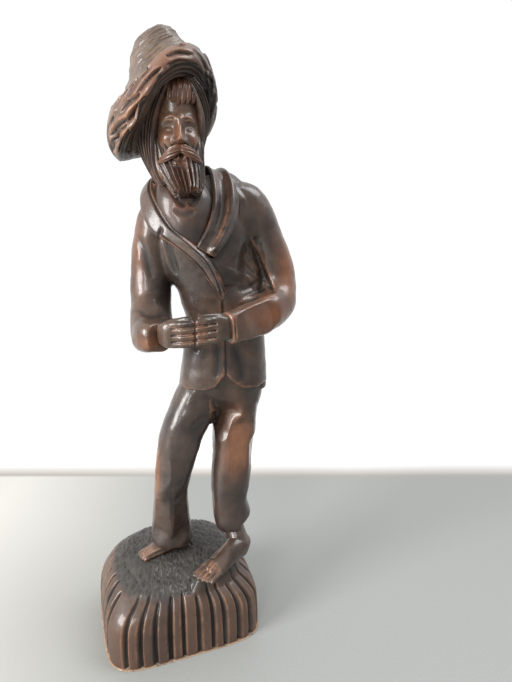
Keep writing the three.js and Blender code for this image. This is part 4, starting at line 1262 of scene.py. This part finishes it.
def curtainPiece(side):
    # each strand is a rounded ridge between two V grooves, and they drift a little along their length
    p = curtains[side]
    count = p["strands"]
    edges = np.arange(count + 1) / count + np.random.default_rng(19).uniform(-0.03, 0.03, count + 1)

    def drifted(u, v):
        return u + 0.03 * np.sin(v * 6 + u * 3)

    def nearestGroove(u, v):
        return np.abs(drifted(u, v)[..., None] - edges).min(-1) * count

    def strands(u, v):
        fine = np.abs(((drifted(u, v) * count * 3) % 1) - 0.5) * 2
        return 1.9 - 1.7 * np.clip(1 - nearestGroove(u, v) / 0.4, 0, 1) ** 0.8 - 0.22 * fine**3

    obj, u, v = band(side + "Curtain", p["inner"], p["outer"], 3.5, strands, rows=240, across=90)
    c = Carving(obj)
    # the grooves between strands are darkened, and the under side is painted with flat shade
    c.recess = (u >= 0) * np.clip(1 - nearestGroove(u, v) / 0.3, 0, 1) * 0.8 + (u < 0) * 0.6
    c.finish(reach=6, edge=0.3)
    return dress(obj, "hair", "dark_stain", "hair")


curtainPiece("right")
curtainPiece("left")
print("hair carved")

hat = dict(
    around=560, rows=175, middle=(1, 0), lean=(-1.6, 4.5), top=378.4, cuts=64,
    # every 30 degrees from the figure's left round by its back: radius and height of the inner edge, the
    # brim's lip, its swell, the top of the turned-up band, two places up the crown and the crown's rim
    rings=[
        [(22, 327), (26.5, 323.5), (31.6, 335), (28.5, 360), (21.5, 367), (14.5, 372), (10.2, 376.6)],
        [(21, 322), (28, 320), (32, 332), (27.5, 354), (22, 362), (16, 369.5), (10.6, 376)],
        [(21, 319), (29, 317), (32, 328), (27, 347), (22.5, 357), (17.5, 367), (11.4, 375)],
        [(22, 317), (30, 315), (32, 326), (27, 343), (23, 353), (18.4, 364), (12, 373.6)],
        [(21, 313), (30, 311), (32, 322), (28, 340), (23.5, 349), (19, 361.5), (12.6, 372)],
        [(20, 309), (29, 307), (32.3, 319), (29, 336), (23.8, 347), (19, 360), (13, 370.6)],
        [(17, 307), (27, 305), (32.6, 316), (29.6, 334), (22.4, 346), (18.2, 359), (13.4, 370)],
        [(20, 310), (29, 308), (33.5, 318), (30.5, 333), (22.8, 346), (18.4, 360), (13, 371)],
        [(25, 322), (32.5, 319), (35, 329), (30.5, 342), (22.8, 352), (18, 365), (12, 374)],
        [(25, 340), (34.5, 343.5), (35.5, 350), (29, 357), (20.5, 361.5), (16.2, 370), (11, 376.6)],
        [(25.5, 346), (34.3, 351), (34.5, 357.5), (27.5, 364), (20.5, 368), (15, 373), (10.4, 377.4)],
        [(25, 338), (31.2, 341), (33, 349), (27.8, 364), (21.5, 368.6), (14.6, 372.8), (10.2, 377)],
    ],
    # the leaf-shaped cuts of the front: three places of x and z, the half width and the depth
    leaves=[((-14, 334), (-8, 341), (0.5, 346), 2.4, 1.7), ((2, 352.5), (9, 356), (18, 356), 2.6, 1.3),
            ((3, 347.5), (11, 351), (21, 351), 2.2, 1.3), ((-20, 332), (-14, 341), (-5, 349), 2.6, 1.2),
            ((-2, 358), (6, 362), (14, 361), 2.4, 1.0), ((-25, 325), (-19, 331), (-11.5, 334.5), 2.4, 2.2),
            ((-21, 319.5), (-16, 325.5), (-9, 331), 2.6, 2.6),
            ((-30, 315), (-26, 320), (-19.5, 322.5), 2.6, 2.5),
            ((-30.5, 308.5), (-29, 313), (-25, 316), 2.2, 2.2),
            ((-26, 306), (-23, 311.5), (-18.5, 317), 2.2, 2.3),
            ((-21, 305), (-18, 311), (-14.5, 318), 2.0, 2.2),
            ((-16, 305), (-14, 311), (-12, 318), 1.6, 1.6), ((18, 360), (23, 355), (27, 349), 2.0, 1.5),
            ((29, 352), (29, 345), (29, 336), 2.0, 1.8), ((25, 350), (26, 341), (25, 332), 1.8, 1.6),
            ((31, 341), (30, 334), (26.5, 327), 1.8, 1.6), ((-27, 329), (-22, 336), (-14, 345), 1.8, 1.3),
            ((-30, 321), (-26, 327), (-20, 334), 1.8, 1.6), ((-17, 322), (-13, 328), (-7, 333), 1.8, 1.8),
            ((-28, 311), (-24.5, 317), (-19, 320), 1.6, 1.9)])


def around12(values, turn):
    # the cubics through one value every 30 degrees, closed round the circle
    values = np.asarray(values, float)
    t = (turn / (2 * np.pi) * len(values)) % len(values)
    i = t.astype(int)
    return cubic(*(values[(i + k) % len(values)] for k in (-1, 0, 1, 2)), (t - i)[:, None, None])


def hatPiece(p):
    # a surface round an upright axis: its radius and height are smooth curves of the bearing and of the way
    # from the brim's inner edge, over the turned-up band, to the crest
    turn = np.linspace(0, 2 * np.pi, p["around"], endpoint=False)
    marks = around12(p["rings"], turn)
    inner = marks[:, :1] * (0.55, 1) + (0, 3)
    crest = marks[:, -1:] * (0.5, 0.45) + (0, 0.55 * p["top"])
    marks = np.concatenate([inner, marks, crest], 1)
    # one profile per direction, all with the same shares along it
    knots = np.array([0, 0.07, 0.19, 0.31, 0.49, 0.66, 0.82, 0.94, 1.0])
    v = np.linspace(0, 1, p["rows"])
    t = np.interp(v, knots, np.arange(len(knots)))
    i = np.minimum(t.astype(int), len(knots) - 2)
    before, after = 2 * marks[:, :1] - marks[:, 1:2], 2 * marks[:, -1:] - marks[:, -2:-1]
    m = np.concatenate([before, marks, after], 1).transpose(1, 0, 2)
    profile = cubic(m[i], m[i + 1], m[i + 2], m[i + 3], (t - i)[:, None, None])
    r, z = profile[..., 0], profile[..., 1]
    lean = ramp(z, 335, 377)
    x = p["middle"][0] + lean * p["lean"][0] + r * np.cos(turn)
    y = p["middle"][1] + lean * p["lean"][1] + r * np.sin(turn)
    obj = closedGrid("hat", np.stack([x, y, z], -1))
    c = Carving(obj)
    # every point's share of the profile, from the inner edge to the crest, and its bearing
    climb = np.concatenate([np.repeat(v, p["around"]), [0, 1]])
    bearing = np.concatenate([np.tile(turn, p["rows"]), [0, 0]])
    degrees = np.degrees(bearing)
    front = bell(degrees, 285, 42)
    # steps under the front of the brim, and painted shade under the brim all round, darkest where each step
    # is cut deepest
    stairs = 3
    under = ramp(climb, 0.075, 0.09) * ramp(climb, 0.2, 0.185)
    saw = ((climb - 0.08) / 0.11 * stairs) % 1
    c.sink(under * (1 - saw) ** 1.2 * 1.5 * (0.35 + 0.65 * front))
    c.darken(under * (0.1 + 0.8 * (1 - saw)))
    c.renew()
    # the crown stands back behind the band, whose upper edge wanders
    brink = 0.50 + 0.022 * np.sin(bearing * 5 + 1.0) + 0.012 * np.sin(bearing * 11) - 0.05 * front
    c.sink(ramp(climb, brink, brink + 0.016) * ramp(climb, 0.9, 0.7) * 1.9)
    c.darken(bell(climb - brink, 0.014, 0.012) * 0.6)
    c.rub(bell(climb - brink, -0.008, 0.012) * 0.35)
    c.renew()
    # long shallow strokes laid round the crown
    q = np.stack([bearing / (2 * np.pi) * 10 + climb * 9.0, climb * 34 - bearing * 1.2, 0 * climb + 0.5], 1)
    near, ring = cellDistance(q, 91)
    crown = ramp(climb, 0.42, 0.52)
    c.sink((1 - np.clip(near * 1.3, 0, 1) ** 2) * 0.85 * crown)
    c.darken(ramp(near / ring, 0.9, 1.0) * 0.25 * crown)
    # the turned-up band: leaf-shaped cuts laid along it
    c.renew()
    for *path, width, depth in p["leaves"]:
        path = [(x, 0, z) for x, z in path]
        c.gouge(path, width * 1.3, depth * 1.45, (0, -1, 0), lens=True, wear=0.2, slant=True)
    c.renew()
    # leaf cuts of every length carried round the sides and the back, none over the front's own
    luck = np.random.default_rng(92)
    for _ in range(p["cuts"]):
        start = luck.uniform(0, 2 * math.pi)
        low, run, rise = luck.uniform(0.2, 0.42), luck.uniform(0.16, 0.42), luck.uniform(0.02, 0.12)
        overFront = 1.08 * math.pi < start and start + run < 1.82 * math.pi
        if overFront or math.pi * 1.62 < start < 1.75 * math.pi:
            continue
        share = np.array([0, 0.33, 0.67, 1])
        column = ((start + share * run) / (2 * math.pi) * p["around"]).astype(int) % p["around"]
        row = ((low + share * rise + 0.012 * np.sin(share * math.pi)) * (p["rows"] - 1)).astype(int)
        path = c.points[row * p["around"] + column]
        c.gouge(path, luck.uniform(1.6, 2.8), luck.uniform(0.6, 1.7), snap=False, lens=True, wear=0.2)
    c.renew()
    c.unevenness(5.0, 0.25, 93)
    turnedUp = ramp(climb, 0.17, 0.22) * ramp(climb, 0.55, 0.47)
    aside = (degrees - 338 + 180) % 360 - 180
    # painted shadow: under the brim all round, and down the lower crown on the side away from the window
    shadow = ramp(climb, 0.2, 0.15) * 0.35 + 0.6 * ramp(climb, 0.62, 0.35) * bell(aside, 0, 36)
    c.finish(reach=8, edge=0.25, paintedShade=shadow)
    setAttribute(obj, "warmth", np.maximum(turnedUp, 0.7 * under) * bell(degrees, 268, 48) * 1.15)
    return dress(obj, "hat", "weathered_crown", "hat")


hatPiece(hat)
print("hat carved")
